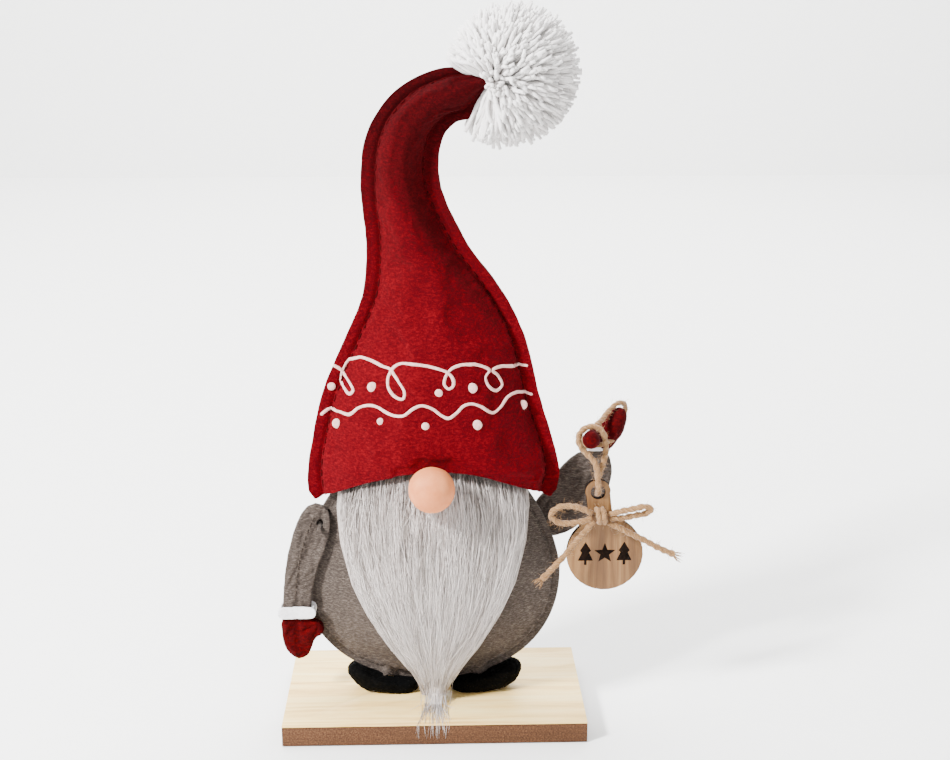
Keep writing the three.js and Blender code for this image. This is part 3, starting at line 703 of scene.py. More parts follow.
# What makes each finish, its shades from dark to light on a screen, and what sets it apart.
FINISHES = {
    # the hat's red felt is darkened towards the tip: painted shade
    "red_felt": (felt, [(44, 0, 3), (76, 0, 7), (116, 4, 16)], {"sheen": 0.0, "streak": 1.3, "shaded_to_tip": True}),
    # the mittens' red felt, made darker than the hat's: painted shade
    "mitten_felt": (felt, [(22, 0, 1), (54, 0, 2), (92, 3, 7)], {"sheen": 0.0}),
    "grey_felt": (felt, [(36, 31, 28), (66, 58, 53), (118, 107, 99)], {"sheen": 0.05, "streak": 2.6}),
    "black_felt": (felt, [(1, 1, 1), (2, 2, 2), (14, 12, 11)], {"sheen": 0.0}),
    "white_felt": (felt, [(206, 204, 206), (238, 236, 238), (252, 251, 252)], {}),
    "thread": (felt, [(28, 0, 1), (50, 0, 2), (78, 3, 6)], {"sheen": 0.0}),
    "grey_thread": (felt, [(40, 34, 30), (66, 58, 52), (96, 86, 78)], {"sheen": 0.0}),
    "fur_backing": (felt, [(128, 119, 114), (160, 150, 145), (188, 179, 174)], {}),
    "burnt": (felt, [(8, 4, 2), (17, 9, 5), (34, 20, 11)], {"sheen": 0.0}),
    "fur": (fur_finish, [(168, 158, 153), (206, 197, 193), (226, 219, 215)], {}),
    "yarn": (yarn_finish, [(214, 208, 206), (252, 249, 247)], {}),
    "jute": (jute_finish, [(48, 28, 13), (136, 98, 60), (222, 188, 142)], {}),
    "dowel_wood": (wood_finish, [(190, 150, 104), (214, 178, 130), (230, 200, 156)],
                   {"stretch": (1, 1, 0.06), "scale": 160}),
    "tag_wood": (wood_finish, [(64, 38, 15), (104, 70, 34), (140, 102, 58)],
                 {"stretch": (1, 1, 0.07), "scale": 150, "roughness": 0.6}),
    "base_top": (wood_finish, [(204, 158, 84), (240, 204, 128), (250, 224, 158)],
                 {"stretch": (0.06, 1, 1), "scale": 130, "roughness": 0.42}),
    "base_edge": (board_finish, [], {}),
    "nose_wood": (nose_finish, [], {}),
    "print": (paint_finish, [], {}),
    "fibrefill": (fluff_finish, [], {}),
    "steel": (metal_finish, [], {}),
}
MADE = {}


def finish_named(name):
    """Makes each finish once, when it is first asked for."""
    if name not in MADE:
        maker, shades, settings = FINISHES[name]
        MADE[name] = maker(name, *(srgb(*shade) for shade in shades), **settings)
    return MADE[name]


# ------------------------------------------------------------------ shapes of the stuffed parts

BODY_LOW, BODY_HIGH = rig.box("body_front_panel")
BODY_X = (BODY_LOW.x + BODY_HIGH.x) / 2 / MM
BODY_Z = 70.0
BODY_HALF_WIDTH = (BODY_HIGH.x - BODY_LOW.x) / 2 / MM + 0.3
BODY_DROP, BODY_RISE = 55.0, 72.0
BODY_HALF_DEPTH = -BODY_LOW.y / MM
BODY_FLANGE = 3.2
LEG_X = 22.0
LOWER_POWER, UPPER_POWER = 2.2, 1.6


def body_half_width(rise):
    power = LOWER_POWER if rise < 0 else UPPER_POWER
    share = min(1.0, abs(rise) / (BODY_DROP if rise < 0 else BODY_RISE))
    return BODY_HALF_WIDTH * (1 - share ** power) ** (1 / power)


def body_share(x, z):
    """0 in the middle of the body and 1 on its outline."""
    rise = z - BODY_Z
    power = LOWER_POWER if rise < 0 else UPPER_POWER
    along = abs(rise) / (BODY_DROP if rise < 0 else BODY_RISE)
    return ((abs(x - BODY_X) / BODY_HALF_WIDTH) ** power + along ** power) ** (1 / power)


def body_half_depth(x, z):
    share = body_share(x, z) / (1 - BODY_FLANGE / BODY_HALF_WIDTH)
    if share >= 1:
        return SEAM
    return SEAM + (BODY_HALF_DEPTH - SEAM) * (1 - share * share) ** 0.8


def seam_dip(distance, width, depth):
    """How far a stitched seam pulls the felt in, at a distance from the thread."""
    return depth * math.exp(-(distance / width) ** 2)


def wrinkle(x, z, size, seed):
    return noise.noise(Vector((x / size, z / size, seed)))


def body_skin(sign):
    """The shape of a body panel; sign is -1 for the front and 1 for the back."""
    def shape(u, v):
        angle = math.radians(-87.5 + 175 * v)
        rise = math.sin(angle) * (BODY_DROP if angle < 0 else BODY_RISE)
        x = BODY_X - body_half_width(rise) * math.cos(math.pi * u)
        z = BODY_Z + rise
        to_seam = (1 - body_share(x, z)) * BODY_HALF_WIDTH - BODY_FLANGE
        depth = body_half_depth(x, z) - seam_dip(to_seam, 1.5, 0.3)
        depth = max(depth, 5.0 * math.exp(-((abs(x) - LEG_X) / 5) ** 2) if z < 45 else 0)    # over the leg dowels
        inside = max(0.0, min(1.0, to_seam / 12))
        depth += inside * (0.9 * wrinkle(x, z, 22, sign * 5.0) + 0.35 * wrinkle(x, z, 8, sign * 9.0))
        return x, sign * depth, z
    return shape


# Left edge, right edge and half thickness of the hat, from the brim to the tip.
HAT_STATIONS = np.array([
    (-57, 104, 56.5, 104.2, 24), (-57.6, 122, 58.3, 122, 24), (-50.5, 156, 48.7, 156, 21.5),
    (-40, 181, 42.3, 182, 18.5), (-31.2, 202.5, 31.8, 203.5, 16), (-29, 226, 16, 225.5, 14),
    (-31, 252, 4.3, 251, 12.5), (-27.5, 275, 4.6, 270, 12), (-15, 292.5, 10.5, 278.5, 11),
    (3, 301.5, 18.5, 281.5, 10), (21, 302, 26, 292.5, 7),
])
HAT_FLANGE = 6.6
NECK_AT = 0.56                   # how far up the hat its narrow neck lies, as a share
NECK_CREASE = 5.0
CORNER_LIFT, CORNER_PULL = 2.4, 1.6
BRIM_ARCH, BRIM_Z, ARCH_FADES_OVER = 21.0, 104.0, 60.0
BRIM_LEFT, BRIM_WIDTH = -57.0, 113.5


def hat_station(v):
    """Catmull-Rom between the stations, as the panels were cut."""
    place_in = min(v, 1.0) * (len(HAT_STATIONS) - 1)
    k = min(int(place_in), len(HAT_STATIONS) - 2)
    t = place_in - k
    last = len(HAT_STATIONS) - 1
    b, c = HAT_STATIONS[k], HAT_STATIONS[k + 1]
    a = HAT_STATIONS[k - 1] if k else 2 * b - c
    d = HAT_STATIONS[k + 2] if k + 2 <= last else 2 * c - b
    return b + 0.5 * t * (c - a + t * (2 * a - 5 * b + 4 * c - d + t * (3 * (b - c) + d - a)))


def hat_place(u, v):
    """Place in X and Z, width and half thickness of the hat at a share across and up."""
    left_x, left_z, right_x, right_z, thick = hat_station(v)
    x = left_x + (right_x - left_x) * u
    z = left_z + (right_z - left_z) * u
    width = math.hypot(right_x - left_x, right_z - left_z)
    rise = BRIM_ARCH * max(0.0, 1 - (left_z - BRIM_Z) / ARCH_FADES_OVER) ** 1.5
    return x, z + rise * (1 - (2 * u - 1) ** 2), width, thick


def hat_skin(sign):
    """The shape of a hat panel; sign is -1 for the front and 1 for the back."""
    def shape(u, v):
        u = (1 - math.cos(math.pi * u)) / 2 * 0.6 + u * 0.4
        x, z, width, thick = hat_place(u, v)
        flange = min(HAT_FLANGE, 0.2 * width)
        edge = min(u, 1 - u) * width
        share = min(1.0, abs(2 * u - 1) / (1 - 2 * flange / width))
        depth = SEAM + (thick - SEAM) * (1 - share * share) ** 0.6
        depth -= seam_dip(edge - flange, 1.7, 0.7)
        neck = math.exp(-((v - NECK_AT) / 0.13) ** 2)
        if u > 0.5:
            depth -= neck * seam_dip(edge - flange - 2.2, 3.6, NECK_CREASE)
        inside = max(0.0, min(1.0, (edge - flange) / 10))
        creases = math.sin(z * 0.42 + x * 0.12) * math.exp(-((v - 0.62) / 0.12) ** 2) * (0.4 + 0.6 * u)
        depth += inside * (1.1 * wrinkle(x, z, 26, sign * 3.0) + 0.45 * wrinkle(x, z, 9, sign * 7.0) + 0.35 * creases)
        corner = max(0.0, 1 - edge / 5) ** 2 * max(0.0, 1 - v / 0.035)
        z += CORNER_LIFT * corner
        x += CORNER_PULL * corner * (1 if u < 0.5 else -1)
        wave = 0.35 * wrinkle(z, sign * 11.0, 7, u * 3)
        return x + wave, sign * max(depth, 1.2), z
    return shape


def stitched_skin(name, shape, columns, rows, sign):
    """A felt panel: its outer face is laid out, puffed by cloth pressure and given its thickness."""
    obj = sheet_of(name, columns, rows, shape)
    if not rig.quick():
        puff(obj)
    modify(obj, "SOLIDIFY", thickness=FELT * MM, offset=-1.0 if sign < 0 else 1.0, use_even_offset=False)
    outward(obj)
    smooth(obj, 60)
    return obj


PUFF_FRAMES = 14
PUFF_LIMIT = 0.8                 # the most that the pressure moves the felt, in mm
PINNED_NEAR_SEAM = 1.4


def puff(obj):
    """Cloth pressure between the pinned seams, held close to the laid-out shape."""
    start = coordinates(obj).copy()
    pinned = obj.vertex_groups.new(name="seam")
    for k, (_, y, _) in enumerate(start):
        if abs(y) < (SEAM + PINNED_NEAR_SEAM) * MM:
            pinned.add([k], 1.0, "REPLACE")
    cloth = obj.modifiers.new("cloth", "CLOTH")
    for setting, value in {
            "quality": 4, "mass": 0.2, "tension_stiffness": 12, "compression_stiffness": 12,
            "bending_stiffness": 0.4, "shrink_min": -0.035, "use_pressure": True,
            "uniform_pressure_force": 1.5, "vertex_group_mass": "seam"}.items():
        setattr(cloth.settings, setting, value)
    cloth.settings.effector_weights.gravity = 0
    scene = bpy.context.scene
    for step in range(1, PUFF_FRAMES + 1):
        scene.frame_set(step)
    evaluated = obj.evaluated_get(bpy.context.evaluated_depsgraph_get())
    flat = np.empty(len(start) * 3)
    evaluated.data.vertices.foreach_get("co", flat)
    moved = flat.reshape(-1, 3) - start
    size = np.linalg.norm(moved, axis=1, keepdims=True)
    obj.modifiers.remove(cloth)
    place(obj, start + moved * np.minimum(1, PUFF_LIMIT * MM / np.maximum(size, 1e-9)))
    obj.vertex_groups.clear()
    scene.frame_set(1)


def running_stitch(name, line, surface, sign, dash, gap, thickness):
    """Dashes of thread along a seam line, pressed into the felt."""
    route, length = smooth_route(line, 0.4)
    run = np.linspace(0, length, len(route))
    lines = []
    for start in np.arange(gap, length - dash, dash + gap):
        marks = np.linspace(start, start + dash, 5)
        points = np.stack([np.interp(marks, run, route[:, k]) for k in range(3)], axis=1)
        lines.append([on_surface(surface, p, sign, lift) for p, lift in zip(points, (-0.5, 0.15, 0.3, 0.15, -0.5))])
    radii = np.tile([0.3, 1, 1.05, 1, 0.3], (len(lines), 1)) * thickness / 2
    return strands(name, lines, radii, 6, [0.5] * len(lines))


def tree_of(obj):
    return BVHTree.FromObject(obj, bpy.context.evaluated_depsgraph_get())


def on_surface(tree, point, sign, lift):
    """The point of a skin in front of (or behind) a place in X and Z, lifted off it, in millimetres."""
    x, _, z = point
    for aside in (0.0, 0.5, -0.5, 1.2, -1.2):
        start = Vector(((x + aside) * MM, sign * 0.1, z * MM))
        hit = tree.ray_cast(start, Vector((0, -sign, 0)))[0]
        if hit is not None:
            return np.array([x, hit.y / MM + sign * lift, z])
    return np.array([x, sign * SEAM, z])


# ------------------------------------------------------------------ settings and operators


class TomteFelt(bpy.types.PropertyGroup):
    columns: IntProperty(name="Panel columns", description="Faces across a felt panel", default=84, min=20)
    hat_rows: IntProperty(name="Hat rows", description="Faces up a hat panel", default=190, min=40)
    body_rows: IntProperty(name="Body rows", description="Faces up a body panel", default=110, min=40)
    stitch: FloatProperty(
        name="Stitch", description="Length of one running stitch in mm", default=4.2, min=1)
    stitch_gap: FloatProperty(name="Stitch gap", description="Gap between stitches in mm", default=1.0, min=0.2)
    thread: FloatProperty(name="Thread", description="Diameter of the sewing thread in mm", default=0.9, min=0.1)


class TomteStage(bpy.types.PropertyGroup):
    floor: FloatVectorProperty(
        name="Floor", description="Colour of the floor", subtype="COLOR", default=(0.94, 0.94, 0.93))
    key_power: FloatProperty(name="Key light", description="Power of the key light in watts", default=82.0, min=0,
                             unit="POWER")
    wall_power: FloatProperty(name="Wall light", description="Power of the wall's light in watts", default=150.0, min=0,
                              unit="POWER")
    sky: FloatProperty(name="Sky", description="Strength of the even light", default=0.95, min=0)
    lens: FloatProperty(name="Lens", description="Focal length in mm", default=54.9, min=10, unit="CAMERA")


CAMERA_AT, CAMERA_TURN = (0, -0.6416, 0.3297), (75.37, 0, -1.74)
WALL_Y = 2.2


class TOMTE_OT_stage(bpy.types.Operator):
    """Floor and wall, even sky, a key light from the front left and the camera"""

    bl_idname = "tomte.stage"
    bl_label = "Stage"

    def execute(self, context):
        settings = context.scene.tomte_stage
        deselect()
        bpy.ops.mesh.primitive_plane_add(size=8, location=(0, 0, -0.0004))
        floor = settle(bpy.context.active_object, "floor")
        paper = Finish("paper", 0.9, specular=0.1)
        mottle = paper.noise(paper.mapped((1, 1, 1)), 60, detail=3)
        tone = tuple(settings.floor)
        paper.colour(paper.ramp(mottle, (0.3, tuple(0.985 * c for c in tone)), (0.7, tone)))
        floor.data.materials.append(paper.material)
        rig.stage(floor)

        world = bpy.data.worlds.new("sky")
        world.use_nodes = True
        world.node_tree.nodes["Background"].inputs["Color"].default_value = (1, 1, 1, 1)
        world.node_tree.nodes["Background"].inputs["Strength"].default_value = settings.sky
        context.scene.world = world

        deselect()
        bpy.ops.mesh.primitive_plane_add(size=9, location=(0, WALL_Y, 0), rotation=(math.radians(90), 0, 0))
        wall = settle(bpy.context.active_object, "wall")
        wall.data.materials.append(paper.material)
        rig.stage(wall)

        for name, place_at, aim_at, power, size in (
                ("key", (-0.95, -0.7, 1.0), (0, 0, 0.15), settings.key_power, 0.22),
                ("fill", (0.9, -1.1, 0.7), (0, 0, 0.15), 1.5, 1.2),
                ("wall_light", (0, 0.9, 2.0), (0, WALL_Y, 0.5), settings.wall_power, 2.0),
                ("floor_light", (0, 0.9, 2.2), (0, 0.7, 0), 22.0, 2.0)):
            light = bpy.data.lights.new(name, "AREA")
            light.energy = power
            light.size = size
            lamp = bpy.data.objects.new(name, light)
            lamp.location = place_at
            aim = Vector(aim_at) - Vector(place_at)
            lamp.rotation_euler = aim.to_track_quat("-Z", "Y").to_euler()
            context.scene.collection.objects.link(lamp)

        camera = bpy.data.cameras.new("camera")
        camera.lens = settings.lens
        camera.sensor_width = 36
        viewer = bpy.data.objects.new("camera", camera)
        viewer.location = CAMERA_AT
        viewer.rotation_euler = [math.radians(a) for a in CAMERA_TURN]
        context.scene.collection.objects.link(viewer)
        context.scene.camera = viewer
        return {"FINISHED"}


KNEE_LOW = (-0.0105, 0, 0.217)
KNEE_HIGH = (-0.0105, 0, 0.255)
HAT_JOINT = ("root", "hat_tip", KNEE_LOW, KNEE_HIGH)


class TOMTE_OT_hat(bpy.types.Operator):
    """Two felt hat panels sewn with a running stitch inside a flat margin"""

    bl_idname = "tomte.hat"
    bl_label = "Hat"

    def execute(self, context):
        settings = context.scene.tomte_felt
        for side, sign in (("front", -1), ("back", 1)):
            skin = stitched_skin(f"hat_{side}_felt", hat_skin(sign), settings.columns, settings.hat_rows, sign)
            finish(skin, HAT_JOINT, "red_felt", f"hat_{side}_panel", f"hat_tip_{side}_panel")
            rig.sheet(skin, flat=(0.118, 0.235), held="stretched", rests_on=["hat_stuffing"], area=0.0160)
            surface = tree_of(skin)
            for edge in ("left", "right"):
                line = []
                for v in np.linspace(0.015, 0.985, 40):
                    width = hat_place(0, v)[2]
                    inset = min(HAT_FLANGE, 0.2 * width) / width
                    x, z, _, _ = hat_place(inset if edge == "left" else 1 - inset, v)
                    line.append((x, 0, z))
                seam = running_stitch(f"hat_{side}_{edge}_stitches", line, surface, sign,
                                      settings.stitch, settings.stitch_gap, settings.thread)
                finish(seam, HAT_JOINT, "thread", slot="red_felt")
        return {"FINISHED"}


class TOMTE_OT_body(bpy.types.Operator):
    """Two grey felt panels sewn round the edge and stuffed"""

    bl_idname = "tomte.body"
    bl_label = "Body"

    def execute(self, context):
        settings = context.scene.tomte_felt
        for side, sign in (("front", -1), ("back", 1)):
            skin = stitched_skin(f"body_{side}_felt", body_skin(sign), settings.columns, settings.body_rows, sign)
            finish(skin, "root", "grey_felt", f"body_{side}_panel")
            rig.sheet(skin, flat=(0.126, 0.132), held="stretched", rests_on=["body_stuffing"], area=0.0135)
            surface = tree_of(skin)
            line = []
            for k in range(121):
                angle = 2 * math.pi * k / 120
                power = LOWER_POWER if math.sin(angle) < 0 else UPPER_POWER
                reach = (abs(math.cos(angle)) ** power + abs(math.sin(angle)) ** power) ** (-1 / power)
                inset = 1 - BODY_FLANGE / BODY_HALF_WIDTH
                rise = BODY_DROP if math.sin(angle) < 0 else BODY_RISE
                line.append((BODY_X + BODY_HALF_WIDTH * inset * reach * math.cos(angle), 0,
                             BODY_Z + rise * inset * reach * math.sin(angle)))
            seam = running_stitch(f"body_{side}_stitches", line, surface, sign,
                                  settings.stitch, settings.stitch_gap, settings.thread * 0.7)
            finish(seam, "root", "grey_thread", slot="grey_felt")
        return {"FINISHED"}


# ------------------------------------------------------------------ beard

BEARD_Z = (10.4, 18, 25, 40, 55, 70, 89, 104, 114, 124)
BEARD_HALF = (4.6, 8, 12, 23.5, 33.5, 41, 46.6, 48.4, 47.4, 44.5)
BEARD_THICK = 8.0
BEARD_JOINT = ("root", "beard", (0, -0.021, 0.1135), (0, -0.021, 0.094))
HAIR_RISE = 0.3                  # how far loose hair lies above what it rests on, in mm
HAIR_TAPER = (0.7, 1, 1, 1, 0.95, 0.85, 0.7, 0.5, 0.2)
LOCKS = 95
SOFT_EDGE = 1.12                 # the furthest share of the beard's half width that a stray hair reaches


def beard_half(z):
    return float(np.interp(z, BEARD_Z, BEARD_HALF))


def brim_height(x):
    return BRIM_Z + BRIM_ARCH * (1 - (2 * (x - BRIM_LEFT) / BRIM_WIDTH - 1) ** 2)


def beard_back(x, z):
    hanging = 17 - 3 * max(0.0, 40 - z) / 30 if z < 50 else 0
    return max(body_half_depth(x, z) + 2.7, hanging)


def beard_depth(share, z, layer):
    """How far in front of the middle plane the fur lies; layer is 0 at its back and 1 at its face."""
    x = share * beard_half(z)
    plump = 0.25 + 0.75 * math.sqrt(max(0.0, 1 - share * share))
    taper = 1.0 if z > 40 else 0.45 + 0.55 * (z - 10) / 30
    lifted = 1.0 - 0.35 * max(0.0, (z - 108) / 16)
    return beard_back(x, z) + BEARD_THICK * plump * taper * lifted * layer


def beard_bed(u, v):
    """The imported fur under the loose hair, combed into shallow grooves."""
    share = 1.9 * u - 0.95
    top = brim_height(share * 45) - 1.0
    z = 12.5 + (top - 12.5) * v
    comb = noise.noise(Vector((share * 17, z / 60, 2.0))) + 0.5 * noise.noise(Vector((share * 43, z / 45, 6.0)))
    return share * beard_half(z) * 0.97, -(beard_depth(share, z, 0.7) + 0.7 * comb), z


def beard_hair(name, count, seed, layers, lengths, width, lowest, stray):
    """Long fibres that run down the beard's own flow lines, drawn together in locks.

    layers is how far out they lie, between the beard's back and its face; lowest is the height of
    the lowest roots; stray is how freely they leave their lock. Sizes are in mm.
    """
    draw = random.Random(seed)
    locks = [(draw.uniform(-1, 1), draw.uniform(-1, 1)) for _ in range(LOCKS)]
    steps = len(HAIR_TAPER)
    lines, radii, tints = [], [], []
    while len(lines) < count:
        share = max(-0.985, min(0.985, math.sin(draw.uniform(-math.pi / 2, math.pi / 2)) * 0.55
                                + draw.uniform(-1, 1) * 0.45))
        top = brim_height(share * 45) + 2.5
        z_root = top - (top - lowest) * draw.random() ** 1.9
        reach = draw.uniform(*lengths)
        ragged = 34 * abs(share) ** 1.5 * draw.random()
        z_tip = max(draw.uniform(10.9, 27) + ragged, z_root - reach)
        lock = min(locks, key=lambda l: abs(l[0] - share) + 0.05 * abs(l[1] - z_root / 120))
        layer = draw.uniform(*layers)
        sway, phase = draw.uniform(0.006, 0.03), draw.uniform(0, 6.3)
        drift, ripple = stray * draw.gauss(0, 0.11), draw.uniform(3, 8)
        line = []
        for k in range(steps):
            t = k / (steps - 1)
            z = z_root + (z_tip - z_root) * t
            pulled = share + (lock[0] - share) * 0.7 * t ** 1.6 + sway * math.sin(ripple * t + phase) + drift * t
            pulled = SOFT_EDGE * math.tanh(pulled / SOFT_EDGE) if abs(pulled) > 0.9 else pulled
            rise = layer * min(1.0, 0.5 + 3.2 * t) + 0.10 * math.sin(3.1 * t + phase) * t
            crown = 1.4 * math.sin(math.pi * min(1.0, 2.2 * t)) * (1 if z_root > 104 else 0.3)
            depth = max(beard_depth(pulled, z, rise) + crown * layer, 0)
            line.append((pulled * beard_half(z), -depth, z))
        lines.append(line)
        thin = width * draw.uniform(0.7, 1.25)
        radii.append([thin * w for w in HAIR_TAPER])
        tints.append(min(1, max(0, 0.5 + 0.3 * draw.gauss(0, 1) + 0.5 * math.sin(lock[0] * 37 + lock[1] * 3))))
    return strands(name, lines, radii, 3, tints)


def beard_wisps(name, seed):
    """Hair ends that lie on the base and hang over its front edge."""
    draw = random.Random(seed)
    base_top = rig.box("base_veneer")[1].z / MM
    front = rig.box("base_board")[0].y / MM
    lines, radii, tints = [], [], []
    for _ in range(110):
        x = draw.gauss(0.3, 2.6)
        aim = x + draw.gauss(0.5, 3.6)
        over = draw.random() < 0.2
        start = draw.uniform(30, 52)
        share = x / beard_half(start)
        far = front - 0.5 if over else draw.uniform(-36, -24)
        line = [(x, -beard_depth(share, start, 1.0), start), (x, -beard_depth(x / beard_half(22), 22, 1.15), 22),
                (x + 0.1 * (aim - x), -beard_depth(x / beard_half(15), 15, 1.2), 15.5),
                (x + 0.35 * (aim - x), -22, base_top + HAIR_RISE + draw.random() * 0.8),
                (x + 0.6 * (aim - x), -22 + 0.5 * (far + 22), base_top + HAIR_RISE + draw.random() * 0.6)]
        if over:
            drop = draw.uniform(2, 7.5)
            line += [(aim * 0.95, front + 1, base_top + HAIR_RISE), (aim, front - 0.4, base_top - 0.3),
                     (aim + draw.gauss(0, 0.6), front - 0.5, base_top - drop)]
        else:
            line += [(x + 0.8 * (aim - x), -22 + 0.8 * (far + 22), base_top + HAIR_RISE),
                     (aim, far, base_top + HAIR_RISE), (aim + draw.gauss(0, 0.8), far - 2, base_top + HAIR_RISE)]
        lines.append(line)
        radii.append([0.12 * w for w in (1, 1, 1, 1, 0.9, 0.75, 0.5, 0.25)])
        tints.append(draw.random())
    return strands(name, lines, radii, 3, tints)


class TomteFur(bpy.types.PropertyGroup):
    under: IntProperty(name="Under hair", description="Fibres in the lower layer", default=3300, min=100)
    over: IntProperty(name="Over hair", description="Fibres in the upper layer", default=3600, min=100)
    loose: IntProperty(name="Loose hair", description="Fibres that stray over the others", default=1300, min=10)
    width: FloatProperty(name="Fibre", description="Radius of one drawn fibre in mm", default=0.19, min=0.02)


class TOMTE_OT_beard(bpy.types.Operator):
    """Long silvery fur that tapers to a point and trails over the base"""

    bl_idname = "tomte.beard"
    bl_label = "Beard"

    def execute(self, context):
        settings = context.scene.tomte_fur
        bed = sheet_of("beard_bed", 70, 90, beard_bed)
        modify(bed, "SOLIDIFY", thickness=2.4 * MM, offset=-1.0, use_even_offset=False)
        outward(bed)
        smooth(bed, 70)
        finish(bed, BEARD_JOINT, "fur_backing", "beard_crown", "beard_fur", slot="fur")
        for name, count, seed, layers, lengths, width, lowest, stray in (
                ("under", settings.under, 5, (0.55, 0.9), (38, 80), 1.0, 30, 0.0),
                ("over", settings.over, 11, (0.85, 1.12), (45, 105), 0.85, 45, 0.45),
                ("loose", settings.loose, 17, (1.0, 1.25), (30, 90), 0.7, 38, 1.5)):
            hair = beard_hair(f"beard_{name}_hair", count, seed, layers, lengths, settings.width * width, lowest, stray)
            finish(hair, BEARD_JOINT, "fur")
        finish(beard_wisps("beard_wisps", 3), "beard", "fur")

        low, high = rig.box("beard_backing")
        backing = copy_of("beard_backing_cloth", "beard_backing")
        modify(backing, "REMESH", mode="VOXEL", voxel_size=0.8 * MM)
        smooth(backing)
        finish(backing, "root", "fur_backing", "beard_backing")
        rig.sheet(backing, flat=(1.25 * (high.x - low.x), 1.05 * (high.z - low.z)), held="stretched",
                 rests_on=["body_front_felt"], area=0.0044)
        return {"FINISHED"}


class TOMTE_OT_nose(bpy.types.Operator):
    """A painted ball below the middle of the brim"""

    bl_idname = "tomte.nose"
    bl_label = "Nose"

    def execute(self, context):
        low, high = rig.box("nose")
        deselect()
        bpy.ops.mesh.primitive_uv_sphere_add(
            segments=72, ring_count=48, radius=(high.x - low.x) / 2, location=(low + high) / 2)
        nose = settle(bpy.context.active_object, "nose_ball")
        centre = (low + high) / 2
        points = coordinates(nose)
        for k, point in enumerate(points):
            out = Vector(point) - centre
            lump = 1 + 0.012 * noise.noise(out * 260) - 0.03 * max(0.0, out.normalized().z) ** 4
            points[k] = centre + out * lump
        place(nose, points)
        outward(nose)
        smooth(nose, 80)
        finish(nose, "root", "nose_wood", "nose")
        return {"FINISHED"}


# ------------------------------------------------------------------ pom-pom


POMPOM_REACH = 28.5              # from the middle of the pom-pom to its right side, in mm
TIE_FROM_MIDDLE = (-8.0, -1.0, -2.5)
LONG_ENDS = 46
BINDING_POINTS, BINDING_RADIUS = 34, 2.7


class TomtePompom(bpy.types.PropertyGroup):
    ends: IntProperty(name="Yarn ends", description="Number of cut yarn ends", default=1700, min=50)
    yarn: FloatProperty(name="Yarn", description="Diameter of the yarn in mm", default=1.7, min=0.2)


def cut_ends(draw, centre, tie, radius, count, yarn):
    """Yarn from the tie out to a ball round centre: lines, radii and tints. The tints vary at random, and are paler on
    the top of the ball and darker below: painted light and shade.
    """
    golden = math.pi * (3 - math.sqrt(5))
    lines, radii, tints = [], [], []
    for k in range(count):
        height = 1 - 2 * (k + 0.5) / count
        flat = math.sqrt(1 - height * height)
        out = np.array((math.cos(golden * k) * flat, math.sin(golden * k) * flat, height))
        out += np.array([draw.gauss(0, 0.05) for _ in range(3)])
        out /= np.linalg.norm(out)
        if out[0] < -0.18 and abs(out[1]) < 0.88 and -0.72 < out[2] < 0.2:
            continue                 # the hat's tip is here
        low_side = max(0.0, -out[2]) * max(0.0, 0.75 - out[0])
        reach = radius * draw.uniform(0.94, 1.08) * (1 + 0.10 * low_side + 0.05 * max(0.0, out[2]))
        end = centre + out * reach * np.array((1, 0.72 if out[1] < 0 else 1, 1))
        sag = np.array((0, 0, -1.0)) * draw.uniform(0.5, 2.6)
        bow = np.array([draw.gauss(0, 1.3), draw.gauss(-2.4 if out[1] < -0.3 else 0, 1.2), draw.gauss(0, 1.3)])
        start = tie + out * 2.5
        lines.append([start + (end - start) * t + (bow * math.sin(math.pi * t)) + sag * t * t * 0.5
                      for t in np.linspace(0, 1, 8)])
        size = yarn / 2 * draw.uniform(0.8, 1.15) * (1.12 if low_side > 0.2 else 1)
        radii.append([size * w for w in (0.5, 0.75, 0.95, 1, 1.04, 1, 1.06, 0.82)])
        # ends that point up are paler and those that point down darker: painted light and shade, with a random spread
        tints.append(min(1.0, max(0.0, 0.62 + 0.3 * out[2] + draw.gauss(0, 0.16))))
    return lines, radii, tints


def hanging_ends(draw, tie, yarn):
    """The longer and thicker yarns that hang from the tie like a tassel: lines, radii and tints."""
    lines, radii, tints = [], [], []
    for _ in range(LONG_ENDS):
        turn = math.radians(draw.uniform(246, 300))
        out = np.array((math.cos(turn), draw.uniform(-0.75, -0.1), math.sin(turn)))
        end = tie + out / np.linalg.norm(out) * draw.uniform(19, 27)
        bend = np.array([draw.gauss(0, 1.6) for _ in range(3)])
        lines.append([tie + (end - tie) * t + bend * math.sin(math.pi * t) + np.array((0, 0, -3.0)) * t * t
                      for t in np.linspace(0, 1, 12)])
        radii.append([yarn * 0.62 * (0.86 + 0.16 * (k % 2)) for k in range(11)] + [yarn * 0.4])
        tints.append(draw.uniform(0.4, 1.0))
    return lines, radii, tints


